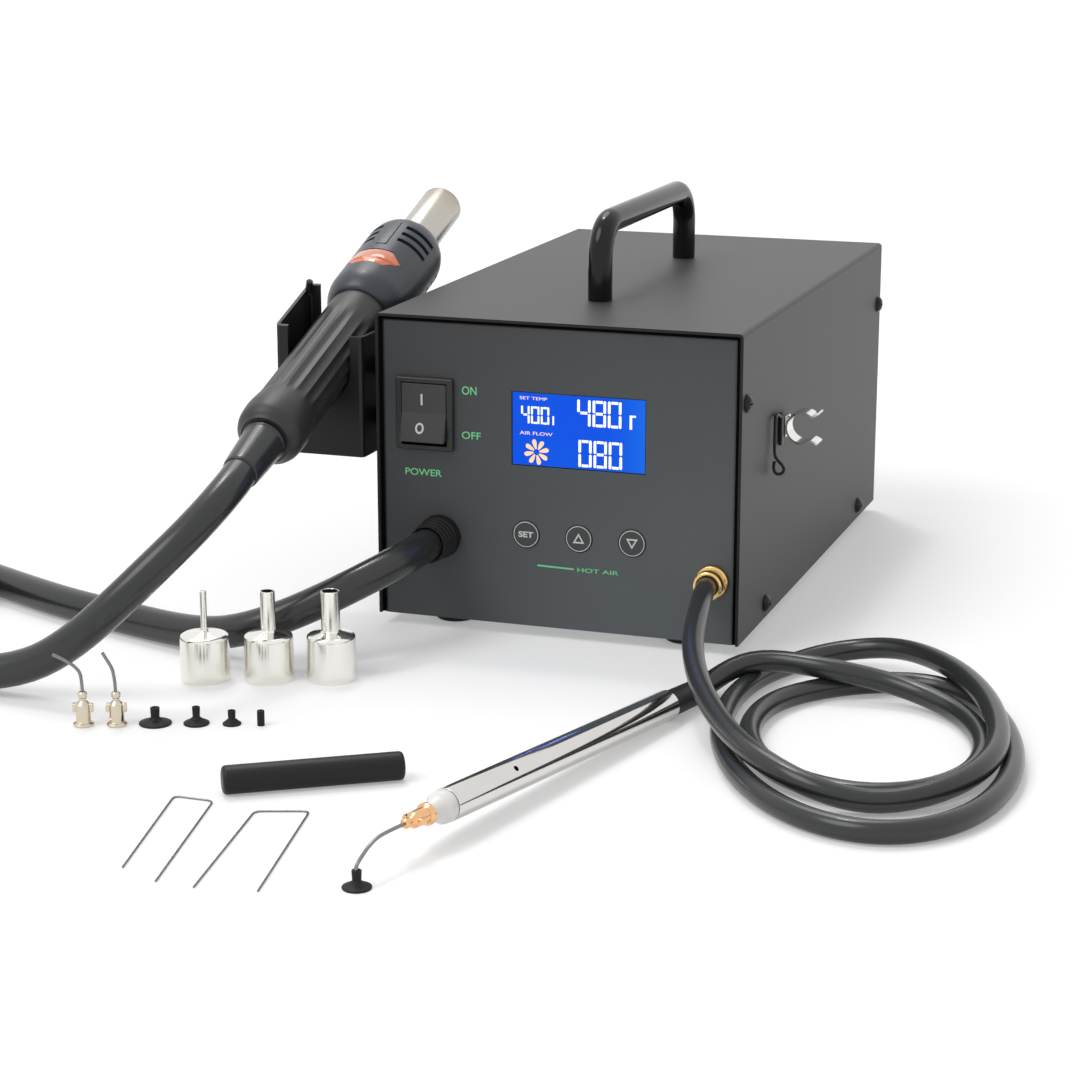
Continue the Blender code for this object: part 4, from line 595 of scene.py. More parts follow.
def plate(name, outlines, depth):
    """A thin plate that faces -Y, from outlines of (x, z) points in millimetres. Inner outlines are holes."""
    curve = bpy.data.curves.new(name, "CURVE")
    curve.dimensions = "2D"
    curve.fill_mode = "BOTH"
    curve.extrude = depth * MM / 2
    for outline in outlines:
        spline = curve.splines.new("POLY")
        spline.use_cyclic_u = True
        spline.points.add(len(outline) - 1)
        for target, (x, z) in zip(spline.points, outline):
            target.co = (x * MM, z * MM, 0.0, 1.0)
    return curve_mesh(name, curve)


def curve_mesh(name, curve):
    """The mesh of a flat curve or text, stood up to face -Y."""
    holder = added(name + "_outline", curve)
    bpy.context.view_layer.update()
    shape = holder.evaluated_get(bpy.context.evaluated_depsgraph_get())
    mesh = bpy.data.meshes.new_from_object(shape)
    mesh.name = name
    mesh.transform(Euler((math.radians(90.0), 0.0, 0.0)).to_matrix().to_4x4())
    bpy.data.objects.remove(holder, do_unlink=True)
    bpy.data.curves.remove(curve)
    form = bmesh.new()
    form.from_mesh(mesh)
    bpy.data.meshes.remove(mesh)
    return finished_mesh(form, name)


def lettering(name, text, left, right, bottom, top, depth, weight=0.0):
    """A word as thin raised ink that fills the given box, in millimetres."""
    curve = bpy.data.curves.new(name, "FONT")
    curve.body = text
    curve.offset = weight
    curve.extrude = 0.5
    mesh = curve_mesh(name, curve)
    low = Vector([min(vertex.co[axis] for vertex in mesh.vertices) for axis in range(3)])
    high = Vector([max(vertex.co[axis] for vertex in mesh.vertices) for axis in range(3)])
    size = high - low
    scale = Vector(((right - left) / size.x, depth / size.y, (top - bottom) / size.z)) * MM
    for vertex in mesh.vertices:
        vertex.co = Vector(((vertex.co.x - low.x) * scale.x + left * MM, (vertex.co.y - high.y) * scale.y,
                            (vertex.co.z - low.z) * scale.z + bottom * MM))
    return mesh


def carved(mesh, tools, operation="DIFFERENCE"):
    """The mesh with other meshes cut from it, joined to it, or kept only where the other mesh is."""
    item = added(mesh.name + "_blank", mesh)
    helpers = []
    for index, tool in enumerate(tools):
        helper = added(mesh.name + "_tool_" + str(index), tool)
        step = item.modifiers.new("cut", "BOOLEAN")
        step.operation, step.solver, step.object = operation, "EXACT", helper
        helpers.append(helper)
    bpy.context.view_layer.update()
    shape = item.evaluated_get(bpy.context.evaluated_depsgraph_get())
    made = bpy.data.meshes.new_from_object(shape)
    for helper in helpers + [item]:
        bpy.data.objects.remove(helper, do_unlink=True)
    form = bmesh.new()
    form.from_mesh(made)
    bpy.data.meshes.remove(made)
    return finished_mesh(form, mesh.name)


def circle(radius, count=48):
    """The outline of a disc, for a plate."""
    return [(radius * math.cos(turn), radius * math.sin(turn)) for turn in around(count)]


def handpiece_place():
    """The handpiece's place in its holder, with its axis along local Z from the tail to the outlet."""
    return at(*HANDPIECE_PLACE, (HANDPIECE_SLOPE - math.radians(90.0), 0.0, 0.0))


def handpiece_tail(along):
    """A point on the handpiece's axis beyond its tail, in the station's frame."""
    x, y, z = HANDPIECE_PLACE
    return (x, y - along * math.cos(HANDPIECE_SLOPE), z - along * math.sin(HANDPIECE_SLOPE))


def pen_point(along):
    """A point on the pen's axis, measured from the nose end of its barrel towards its tail."""
    level = math.cos(PEN_TILT)
    ahead = Vector((-math.sin(PEN_HEADING) * level, math.cos(PEN_HEADING) * level, -math.sin(PEN_TILT)))
    return PEN_TAIL + ahead * (along - PEN_LENGTH)


def place_camera(scene, lens):
    """The camera at the photograph's angle."""
    camera = bpy.data.cameras.new("photo_angle")
    camera.lens = lens
    camera.sensor_width = 36.0
    camera.clip_end = 200.0
    item = added("photo_angle", camera)
    item.location = to_row(*CAMERA_SPOT)
    item.rotation_euler = [math.radians(angle) for angle in CAMERA_TURN]
    scene.camera = item


def hot_hose_root_route():
    """The gland to the coil at the left, and round the coil to its upper layer's south point."""
    run = [(-52.0, -143.8, 41.0), (-53.7, -162.5, 40.0), (-59.0, -176.1, 37.4), (-67.7, -187.9, 33.0),
           (-79.2, -197.0, 27.2), (-92.6, -202.8, 21.0), (-108.0, -205.0, 14.9), (-125.3, -202.3, 10.0),
           (-148.1, -194.7, 7.5), (-172.7, -186.4, 7.2), (-205.0, -175.6, 7.2), (-232.0, -163.6, 7.2),
           (-258.0, -150.6, 7.2), (-282.0, -139.0, 7.2)]
    lift = ((68.0, 7.2), (375.0, 7.2), (400.0, 9.5), (425.0, 16.0), (450.0, 20.2), (470.0, 21.1), (630.0, 21.0))
    middle_x, middle_y, radius = -331.0, -200.0, 75.0
    for angle in range(84, 631, 9):
        turn = math.radians(angle)
        run.append((middle_x + radius * math.cos(turn), middle_y + radius * math.sin(turn), between(lift, angle)))
    run += [(-314.0, -275.2, 20.9), (-298.0, -275.2, 20.6), (-284.8, -275.0, 20.0)]
    return run


def between(stops, place):
    """A value between listed (place, value) stops."""
    for (low, first), (high, last) in zip(stops, stops[1:]):
        if place <= high:
            share = max(0.0, (place - low) / (high - low))
            return first + (last - first) * share
    return stops[-1][1]


def hot_hose_lift_route():
    """The boot on the handpiece down to the bench and away to the coil."""
    run = [handpiece_tail(26.3), handpiece_tail(40.3), (-112.0, -247.0, 66.5), (-122.0, -261.0, 54.0),
           (-136.0, -270.0, 39.0), (-152.0, -274.5, 24.5), (-170.0, -276.0, 13.5), (-190.0, -276.5, 8.4),
           (-213.0, -276.5, 7.8), (-240.0, -276.0, 11.0), (-262.0, -275.5, 16.0), (-284.8, -275.0, 20.0)]
    return run


def vacuum_hose_route():
    """The fitting down to the coil, two and a half turns of it, and out of it to the pen's collar.
    The coil is oval. The share of each angle moves it from the inner lane at 0 to the outer lane at 1."""
    run = [(68.5, -140.8, 32.0), (69.4, -152.0, 31.8), (72.4, -167.5, 30.2), (76.2, -190.1, 26.6),
           (81.0, -207.8, 22.9), (88.7, -226.6, 19.0), (97.6, -243.6, 16.3), (107.3, -260.2, 14.4),
           (118.4, -276.2, 13.4), (130.6, -290.0, 12.6), (144.1, -298.4, 10.2), (156.8, -300.0, 7.0),
           (169.1, -297.9, 4.8)]
    share = ((268, 0.22), (285, 0.25), (300, 0.30), (315, 0.36), (330, 0.45), (345, 0.50), (365, 0.53),
             (400, 0.75), (430, 0.98), (455, 1.02), (480, 1.0), (733, 1.0), (745, 0.92), (770, 0.60),
             (790, 0.30), (810, 0.08), (830, 0.0), (1105, 0.0), (1130, -0.04), (1150, -0.10), (1165, -0.13),
             (1180, -0.10))
    height = ((268, 4.6), (285, 5.6), (300, 7.2), (315, 8.9), (330, 10.0), (360, 11.3), (380, 12.3),
              (400, 12.9), (425, 11.8), (450, 7.4), (475, 4.4), (1105, 4.3), (1130, 5.8), (1150, 8.2),
              (1165, 10.2), (1180, 12.2))
    middle_x, middle_y, tilt = 153.0, -226.0, math.radians(15.7)
    for angle in range(276, 1181, 8):
        lane, turn = between(share, angle), math.radians(angle)
        across = (43.3 + 10.4 * lane) * math.cos(turn)
        along = (62.5 + 37.0 * lane) * math.sin(turn) - 3.3 + 1.7 * lane
        run.append((middle_x + across * math.cos(tilt) - along * math.sin(tilt),
                    middle_y + across * math.sin(tilt) + along * math.cos(tilt), between(height, angle)))
    run += [(122.0, -175.6, 13.0), (113.5, -173.4, 13.1), (104.5, -172.5, 13.1), (96.0, -174.6, 12.9),
            (89.0, -179.8, 10.6), (84.4, -187.4, 7.2), tuple(pen_point(PEN_LENGTH + 16.3))]
    return run


def route_length(points):
    """The length of a route, in metres."""
    return sum((b - a).length for a, b in zip(points, points[1:]))


def lay_hose(name, run, spacing, rounds, radius):
    """A hose along a run in millimetres, eased in a number of rounds, and the points that it follows."""
    points = relaxed(smooth_route([to_row(*point) for point in run], spacing), rounds)
    return tube(name, points, radius), points


def lay_hoses(sizes):
    """The hot-air hose in its resting and its lifting part, and the vacuum hose."""
    radius = sizes.hot_hose_radius
    mesh, points = lay_hose("hot_air_hose", hot_hose_root_route(), 0.006, 3, radius)
    hose = dress("hot_air_hose", mesh, Matrix.Identity(4), "hose",
                 stands_for=("hot_hose_panel_run", "hot_hose_coil"))
    route_length(points)
    mesh, points = lay_hose("hot_air_hose_lift", hot_hose_lift_route(), 0.006, 3, radius)
    mesh.materials.append(finish_of("hose"))
    lift = added("hot_air_hose_lift", mesh)
    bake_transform(lift)
    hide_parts("hot_hose_handpiece_run")
    route_length(points)
    radius = sizes.vacuum_hose_radius
    mesh, points = lay_hose("vacuum_hose", vacuum_hose_route(), 0.005, 6, radius)
    hose = dress("vacuum_hose", mesh, Matrix.Identity(4), "hose",
                 stands_for=("vacuum_hose_drop", "vacuum_hose_coil", "vacuum_hose_lead"))
    route_length(points)


def floor_finish(colour):
    """A pale floor that shows white to the camera and to mirrors, and keeps the object's shadow."""
    finish = Finish("pale_floor")
    cloud = finish.noise(3.0, 2.0)
    tone = finish.mix(cloud, shade(colour, 0.995), shade(colour, 1.005))
    diffuse = finish.node("ShaderNodeBsdfDiffuse", values={"Color": tone})
    seen = seen_rays(finish)
    lift = finish.node("ShaderNodeEmission", values={"Color": (1.0, 1.0, 1.0, 1.0), "Strength": seen * FLOOR_GLOW})
    both = finish.node("ShaderNodeAddShader", values={0: diffuse, 1: lift})
    finish.node("ShaderNodeOutputMaterial", values={"Surface": both})
    return finish.material


def seen_rays(finish):
    """1 for the rays of the camera, of mirrors and of glass, and 0 for the rest."""
    path = finish.node("ShaderNodeLightPath")
    outputs = path.socket.node.outputs
    kinds = [Wire(finish, outputs[name]) for name in ("Is Camera Ray", "Is Glossy Ray", "Is Transmission Ray")]
    return finish.clamp(kinds[0] + kinds[1] + kinds[2])


def set_stage(scene, colours):
    """The pale floor, the white studio round it and three soft lamps."""
    form = bmesh.new()
    bmesh.ops.create_grid(form, x_segments=8, y_segments=8, size=30.0)
    mesh = bpy.data.meshes.new("floor")
    form.to_mesh(mesh)
    form.free()
    floor = added("floor", mesh)
    mesh.materials.append(floor_finish(tuple(colours.floor)))
    world = bpy.data.worlds.new("studio")
    world.use_nodes = True
    scene.world = world
    air = Finish("studio", world.node_tree)
    strength = STUDIO_LIGHT + seen_rays(air) * (1.0 - STUDIO_LIGHT)
    light = air.node("ShaderNodeBackground", values={"Color": (1.0, 1.0, 1.0, 1.0), "Strength": strength})
    air.node("ShaderNodeOutputWorld", values={"Surface": light})
    lamps = (("key_lamp", 0.95, 34.0, (38.0, 0.0, -42.0)), ("back_lamp", 0.60, 30.0, (-34.0, 0.0, 28.0)),
             ("strip_lamp", 0.36, 7.0, (-18.0, -16.0, 0.0)))
    for name, power, spread, turn in lamps:
        lamp = bpy.data.lights.new(name, "SUN")
        lamp.energy = power
        lamp.angle = math.radians(spread)
        item = added(name, lamp)
        item.rotation_euler = [math.radians(angle) for angle in turn]
    scene.view_settings.view_transform = "Standard"


def dress_case():
    """Full finishes for the CAD nodes that are shown as they are, and near-black strips of painted shade in the
    gaps round both panels.
    """
    for node, finish in (("cover", "case"), ("front_panel", "panel"), ("rear_panel", "panel"),
                         ("base_tray", "zinc"), ("display_board", "board"), ("main_board", "board"),
                         ("air_pump", "casting"), ("switch_housing", "black"), ("switch_rocker", "rocker"),
                         ("mains_inlet", "black"), ("holder_bracket", "painted")):
        repaint(node, finish)
    outer, inner, top, low = 78.7, 77.3, 134.7, 5.4
    frame_line = [(-outer, low), (-outer, top), (outer, top), (outer, low), (inner, low), (inner, top - 1.3),
                  (-inner, top - 1.3), (-inner, low)]
    # Painted shade: near-black strips just outside each panel's edge stand for the shade in the gaps round the
    # panels.
    for name, y in (("panel_gap_shade", PANEL_FRONT - 0.22), ("rear_gap_shade", -PANEL_FRONT + 0.22)):
        dress(name, plate(name, [frame_line], 0.4), at(0.0, y, 0.0), "gap")


def make_feet():
    """Four rubber feet, hollow below."""
    profile = [(0.0, -0.3), (8.9, -0.3), (9.5, -1.2), (8.8, -4.2), (8.0, -5.0), (3.4, -5.0), (3.4, -3.4),
               (0.0, -3.4)]
    for end, y in (("front", -115.0), ("rear", 95.0)):
        for hand, x in (("left", -52.0), ("right", 52.0)):
            name = "foot_" + end + "_" + hand
            dress_turned(name + "_rubber", profile, 48, 0.25, at(x, y, 5.0), "rubber",
                         stands_for=(name,))


def make_screws():
    """Pan heads with a cross recess, the same on both sides of the cover."""
    profile = [(0.0, 2.5), (1.3, 2.42), (2.5, 2.05), (3.3, 1.4), (3.75, 0.7), (3.8, 0.3), (1.5, 0.3), (1.5, -6.2),
               (0.0, -6.2)]
    places = [(side, y, z) for side in (1, -1)
              for y, z in ((-128.5, 106.5), (128.5, 106.5), (-89.6, 11.5), (95.0, 11.5))]
    for number, (side, y, z) in enumerate(places, 1):
        name = "cover_screw_" + str(number)
        bars = [block("bar", size, (0.0, 0.0, 2.6), 0.1) for size in ((3.9, 0.8, 2.4), (0.8, 3.9, 2.4))]
        mesh = carved(turned(name, profile, 40), bars)
        quarter = math.radians(90.0 * side)
        dress(name + "_head", mesh, at(side * CASE_SIDE, y, z, (0.0, quarter, 0.0)), "screw",
              stands_for=(name,))


def make_handle(sizes):
    """The rod handle: two legs, two round corners and a straight top."""
    radius, corner, front, rear = sizes.handle_radius, 15.0, -74.0, 57.5
    top = 38.0 - radius / MM - corner
    run = [(front, 0.3), (front, 4.0)]
    for centre, start, end in ((front + corner, math.pi, math.pi / 2), (rear - corner, math.pi / 2, 0.0)):
        for index in range(13):
            turn = start + (end - start) * index / 12
            run.append((centre + corner * math.cos(turn), top + corner * math.sin(turn)))
    run += [(rear, 4.0), (rear, 0.3)]
    dress_wire("handle_rod", [to_row(0.0, y, CASE_TOP + z) for y, z in run], radius, 40, "gloss",
               ("carry_handle",))


def make_switch_marks():
    """The white I and O on the rocker's two faces."""
    bar = [(-0.42, -2.4), (0.42, -2.4), (0.42, 2.4), (-0.42, 2.4)]
    dress("switch_on_mark", plate("switch_on_mark", [bar], 0.12), at(-58.7, -136.43, 100.4), "pale_ink",
          "rocker")
    ring = [[(x * narrower, z) for x, z in circle(radius)] for radius, narrower in ((2.35, 0.82), (1.5, 0.74))]
    dress("switch_off_mark", plate("switch_off_mark", ring, 0.12),
          at(-59.2, -138.0, 88.3, (math.radians(-14.0), 0.0, 0.0)), "pale_ink", "rocker")


SEGMENTS = {"0": "abcdef", "4": "bcfg", "8": "abcdefg"}


def digit_outlines(digit, left, bottom, width, height, stroke):
    """The lit bars of one seven-segment digit, as closed outlines."""
    middle = bottom + height / 2
    right, top, gap = left + width, bottom + height, stroke * 0.24
    flat = {"a": top - stroke, "g": middle - stroke / 2, "d": bottom}
    tall = {"f": (left, middle), "b": (right - stroke, middle), "e": (left, bottom), "c": (right - stroke, bottom)}
    outlines = []
    for name in SEGMENTS[digit]:
        if name in flat:
            z = flat[name]
            inset = stroke + gap
            outlines.append([(left + inset, z), (right - inset, z), (right - inset, z + stroke),
                             (left + inset, z + stroke)])
        else:
            x, z = tall[name]
            low = z + (gap if z == middle else 0.0)
            high = z + height / 2 - (gap if z != middle else 0.0)
            cut = stroke * 0.3
            outlines.append([(x, low + cut), (x + cut, low), (x + stroke - cut, low), (x + stroke, low + cut),
                             (x + stroke, high - cut), (x + stroke - cut, high), (x + cut, high),
                             (x, high - cut)])
    return outlines


def number_outlines(text, left, right, bottom, top, stroke):
    """The lit bars of a number that fills the given box."""
    pitch = (right - left + stroke * 0.7) / len(text)
    width = pitch - stroke * 0.7
    outlines = []
    for index, digit in enumerate(text):
        outlines += digit_outlines(digit, left + pitch * index, bottom, width, top - bottom, stroke)
    return outlines


def make_display():
    """The lit glass with its numbers, the small marks beside them, the captions and the fan."""
    glass = block("display_glass", (57.8, 0.22, 30.8), rounding=0.08)
    dress("display_glass", glass, at(9.7, GLASS_FRONT - 0.13, 90.4), "display")
    face = GLASS_FRONT - 0.27
    place = at(0.0, face, 0.0)
    numbers = number_outlines("480", 9.2, 28.4, 93.3, 104.4, 1.15)
    numbers += number_outlines("080", 9.8, 28.8, 75.9, 87.4, 1.15)
    numbers += number_outlines("400", -15.4, -3.0, 92.8, 100.2, 0.85)
    numbers.append([(31.9, 93.3), (33.0, 93.3), (33.0, 98.4), (34.6, 98.4), (34.6, 99.2), (31.9, 99.2)])
    numbers.append([(-1.6, 92.8), (-0.9, 92.8), (-0.9, 96.6), (-1.6, 96.6)])
    ink = 0.06
    dress("display_numbers", plate("display_numbers", numbers, ink), place, "segment")
    for name, text, box in (("display_caption_air", "SET TEMP", (-16.0, -3.9, 102.9, 104.2)),
                            ("display_caption_fan", "AIR FLOW", (-16.0, -1.6, 88.0, 89.4))):
        dress(name, lettering(name, text, *box, ink), place, "segment_warm")
    shape = ((1.3, 0.25), (3.2, 0.95), (4.7, 1.15), (5.5, 0.35), (5.4, -0.5), (4.3, -0.85), (2.8, -0.65),
             (1.3, -0.3))
    hub, petals = Vector((-8.6, 80.8)), []
    for turn in around(8):
        turn += 0.2
        ahead, side = Vector((math.cos(turn), math.sin(turn))), Vector((-math.sin(turn), math.cos(turn)))
        petals.append([tuple(hub + ahead * a + side * b) for a, b in shape])
    dress("display_fan", plate("display_fan", petals, ink), place, "segment_orange")


def make_keys(sizes):
    """Round key caps in the panel's colour, each with its printed ring and sign."""
    front = 133.9
    profile = [(0.0, front), (5.5, front), (5.9, 133.5), (5.9, 132.0), (7.2, 132.0), (7.2, 131.0), (2.2, 131.0),
               (2.2, 124.8), (0.0, 124.8)]
    depth = sizes.print_thickness / MM
    up = [(-2.55, -1.95), (2.55, -1.95), (0.0, 2.45)]
    inner = [(-1.45, -1.28), (1.45, -1.28), (0.0, 1.22)]
    for name, x, body in (("key_set", -13.15, "set_key"), ("key_up", 10.2, "up_key"),
                          ("key_down", 33.55, "down_key")):
        dress_turned(name + "_cap", profile, 64, 0.12, at(x, 0.0, 45.0, FORWARD), "panel", body,
                     (name,))
        place = at(x, -front - depth / 2 - 0.005, 45.0)
        ring = plate(name + "_ring", [circle(5.5, 64), circle(5.18, 64)], depth)
        dress(name + "_ring", ring, place, "pale_ink", body)
        if name == "key_set":
            sign = lettering(name + "_sign", "SET", -3.3, 3.3, -1.3, 1.3, depth, 0.035)
        else:
            flip = 1 if name == "key_up" else -1
            sign = plate(name + "_sign", [[(a, b * flip) for a, b in line] for line in (up, inner)], depth)
        dress(name + "_sign", sign, place, "pale_ink", body)


def make_print(sizes):
    """The panel's green words and thin line."""
    depth = sizes.print_thickness / MM
    place = at(0.0, PANEL_FRONT - depth - 0.01, 0.0)
    for name, text, box in (("word_on", "ON", (-41.6, -35.0, 103.2, 106.8)),
                            ("word_off", "OFF", (-41.8, -33.2, 84.2, 87.4)),
                            ("word_power", "POWER", (-67.6, -51.0, 66.9, 69.9)),
                            ("word_hot_air", "HOT AIR", (9.6, 27.8, 30.6, 32.4))):
        dress(name, lettering(name, text, *box, depth, 0.012), place, "ink")
    line = [(-8.1, 31.5), (8.0, 31.2), (8.0, 31.9), (-8.1, 32.3)]
    dress("thin_line", plate("thin_line", [line], depth), place, "ink")


def make_fittings():
    """The ribbed gland of the hot-air hose and the brass fitting of the vacuum hose."""
    profile = [(0.0, 10.0), (7.3, 10.0), (7.3, 16.0), (8.2, 16.0)]
    for index in range(4):
        top, radius = 14.8 - index * 3.0, 8.2 + 0.15 * index
        profile += [(radius, top), (radius - 0.5, top - 0.8), (radius + 0.3, top - 1.8)]
    profile += [(9.4, 2.2), (9.4, 0.3), (8.0, 0.3), (8.0, -1.5), (11.0, -1.5), (11.0, -5.5), (0.0, -5.5)]
    dress_turned("gland_ribbed", profile, 64, 0.25, at(-52.0, PANEL_FRONT, 41.0, FORWARD), "rubber",
                 stands_for=("hose_gland",))
    profile = [(0.0, 7.0), (4.6, 7.0), (4.6, 10.0), (5.6, 10.0), (6.2, 9.4), (6.2, 5.8), (5.2, 5.0), (5.2, 3.2),
               (6.6, 3.0), (7.0, 2.4), (7.0, 0.3), (4.6, 0.3), (4.6, -1.5), (6.8, -1.5), (6.8, -4.5), (3.5, -4.5),
               (3.5, -13.5), (0.0, -13.5)]
    dress_turned("fitting_turned", profile, 56, 0.2, at(68.5, PANEL_FRONT, 32.0, FORWARD), "brass",
                 stands_for=("vacuum_fitting",))


def make_inlet_pins():
    """The three flat pins of the mains inlet."""
    for index, (dx, dz) in enumerate(((-7.0, -1.5), (0.0, 2.5), (7.0, -1.5)), 1):
        mesh = block("inlet_pin", (2.1, 16.1, 4.1), rounding=0.35)
        dress("inlet_pin_" + str(index), mesh, at(-45.0 + dx, 123.75, 34.0 + dz), "zinc")


def grip_mesh(depth):
    """The grip: a round bulge at the tail, a straight part with concave flutes, and plain ends."""
    sides, flutes, length = 216, 18, 105.7
    stations = [0.0, 0.006, 0.014, 0.028] + [0.05 + 0.95 * index / 60 for index in range(61)]
    form = bmesh.new()
    rings = []
    for share in stations:
        along = share * length
        bulge = 1.1 * math.exp(-((along - 11.0) / 8.5) ** 2)
        end = 2.97 * math.exp(-(along / 2.2) ** 2) + 0.5 * math.exp(-((length - along) / 1.0) ** 2)
        fade = max(0.0, min(1.0, (along - 19.0) / 6.0, (95.0 - along) / 16.0))
        fade = fade * fade * (3.0 - 2.0 * fade)
        ring = []
        for turn in around(sides):
            flute = depth * fade * abs(math.sin(flutes / 2 * turn))
            radius = 13.5 + bulge - end - flute
            ring.append(form.verts.new((radius * MM * math.cos(turn), radius * MM * math.sin(turn), along * MM)))
        rings.append(ring)
    skin(form, rings)
    return finished_mesh(form, "grip_fluted", 50.0)


def sector(name, inner, outer, first, last, low, high):
    """A part of a ring about local Z, for the head's slots. Angles are from the top, in degrees."""
    form = bmesh.new()
    loops = []
    count = 14
    for index in range(count + 1):
        turn = math.radians(first + (last - first) * index / count)
        across, up = math.sin(turn), -math.cos(turn)
        loops.append([form.verts.new((radius * across * MM, radius * up * MM, z * MM))
                      for radius, z in ((inner, low), (outer, low), (outer, high), (inner, high))])
    skin(form, loops)
    return finished_mesh(form, name)


def lens_prism(margin):
    """The six-sided outline of the lens, less a margin, as a block that passes through the top of the head."""
    half, long, flat, middle = 13.0 - margin, 6.3 - margin, 7.2, LENS_MIDDLE
    points = [(-half, middle), (-flat, middle - long), (flat, middle - long), (half, middle),
              (flat, middle + long), (-flat, middle + long)]
    form = bmesh.new()
    skin(form, [[form.verts.new((x * MM, y * MM, z * MM)) for x, z in points] for y in (-26.0, -7.8)])
    return finished_mesh(form, "lens_prism")


def make_head(place, body):
    """The head's shell with its slots and its opening for the lens, the rib above it and the dark liner of soot and
    painted shade behind the slots.
    """
    start, end, radius, wall = HEAD_START, HEAD_END, HEAD_RADIUS, HEAD_WALL
    inner, mouth = radius - wall, 10.0
    profile = [(0.0, start + wall), (11.5, start + wall), (inner, start + 9.0), (inner, end - 9.0),
               (12.5, end - 4.0), (mouth, end - wall), (mouth, end), (11.6, end), (13.2, end - 0.6),
               (14.6, end - 1.7), (15.8, end - 3.2), (16.8, end - 5.2), (17.5, end - 7.6), (17.9, end - 10.2),
               (radius, end - 12.0), (radius, start + 11.0), (17.85, start + 8.8), (17.4, start + 6.6),
               (16.7, start + 4.5), (15.8, start + 2.6), (14.8, start + 1.0), (14.0, start + 0.3), (13.4, start),
               (0.0, start)]
    cuts = [lens_prism(0.0)]
    for along in (147.0, 152.8, 158.6):
        for quarter in ((18.0, 68.0), (112.0, 162.0), (198.0, 248.0), (292.0, 342.0)):
            cuts.append(sector("slot", 13.6, 21.0, *quarter, along - 1.3, along + 1.3))
    head = carved(turned("head_moulding", profile, 96, 0.0), cuts)
    dress("head_moulding", head, place, "head", body, ("handpiece_head",))
    rib = block("head_rib", (5.2, 1.0, 21.0), (0.0, -17.75, 151.0), 0.4)
    dress("head_rib", rib, place, "head", body)
    # Painted shade: a near-black liner inside the head darkens what shows through the slots, along with its soot.
    liner = [(12.2, 140.0), (12.2, end - 6.0), (12.8, end - 6.0), (12.8, 140.0)]
    dress_turned("head_liner", liner, 64, 0.0, place, "soot", body)


def make_lens(place, body):
    """The orange lens: a band a little prouder than the head, kept only inside the head's opening."""
    mid, inner, outer = LENS_MIDDLE, HEAD_RADIUS - HEAD_WALL, HEAD_RADIUS + 0.2
    ring = [(inner, mid + 8.0), (outer - 0.4, mid + 8.0), (outer - 0.4, mid + 5.8), (outer, mid + 5.0),
            (outer, mid - 1.2), (outer - 0.7, mid - 2.1), (outer - 0.1, mid - 3.0), (outer - 0.3, mid - 5.4),
            (outer - 0.5, mid - 6.0), (outer - 0.5, mid - 8.0), (inner, mid - 8.0)]
    lens = carved(turned("lens_band", ring, 96), [lens_prism(0.3)], "INTERSECT")
    dress("lens_band", lens, place, "lens", body, ("indicator_lens",))


def make_outlet(place, body):
    """The outlet pipe and the ceramic core in it, with six blind holes in its end."""
    pipe = [(9.1, PIPE_END), (9.7, PIPE_END), (9.7, 150.0), (9.1, 150.0)]
    dress_turned("outlet_pipe", pipe, 72, 0.2, place, "satin", body, ("heat_pipe",))
    top = PIPE_END - 10.0
    core = turned("ceramic_core", [(0.0, top), (8.8, top), (8.8, 152.0), (0.0, 152.0)], 48, 0.3)
    holes = []
    for turn in around(6):
        hole = turned("core_hole", [(0.0, 6.0), (1.6, 6.0), (1.6, -6.0), (0.0, -6.0)], 24)
        hole.transform(Matrix.Translation(Vector((5.2 * math.cos(turn), 5.2 * math.sin(turn), top)) * MM))
        holes.append(hole)
    dress("ceramic_core", carved(core, holes), place, "ceramic", body, ("heater_core",))


def make_handpiece(sizes):
    """The handpiece from its grip to its outlet, and the smooth boot on its hose."""
    place, body = handpiece_place(), "handpiece"
    dress("grip_fluted", grip_mesh(sizes.flute_depth / MM), place, "grip", body,
          ("handpiece_grip",))
    make_head(place, body)
    make_lens(place, body)
    make_outlet(place, body)
    boot = [(0.0, -0.3), (9.0, -0.3), (9.4, -1.0), (9.4, -2.0), (9.0, -2.6), (8.8, -7.0), (8.4, -14.0),
            (8.0, -21.0), (7.7, -25.0), (7.4, -26.0), (0.0, -26.0)]
    dress_turned("boot_smooth", boot, 64, 0.5, place, "hose", body, ("hose_boot",))


def make_holder_pin():
    """The small pin at the rear top corner of the holder's left wall."""
    profile = [(0.0, 8.0), (1.1, 8.0), (1.5, 7.5), (1.5, 1.6), (1.0, 1.2), (1.5, 0.8), (1.5, 0.0), (0.0, 0.0)]
    lean = (math.radians(25.0), math.radians(20.0), 0.0)
    dress_turned("holder_pin", profile, 24, 0.0, at(-125.3, -101.6, 136.0, lean), "painted")


def strip_outline(path, width):
    """The outline of a bent strip of even width, from the points along its middle."""
    outline = []
    for side in (1, -1):
        edge = []
        for index, point in enumerate(path):
            before, after = path[max(0, index - 1)], path[min(len(path) - 1, index + 1)]
            along = (Vector(after) - Vector(before)).normalized()
            edge.append((point[0] - side * along.y * width / 2, point[1] + side * along.x * width / 2))
        outline += edge if side > 0 else list(reversed(edge))
    return outline


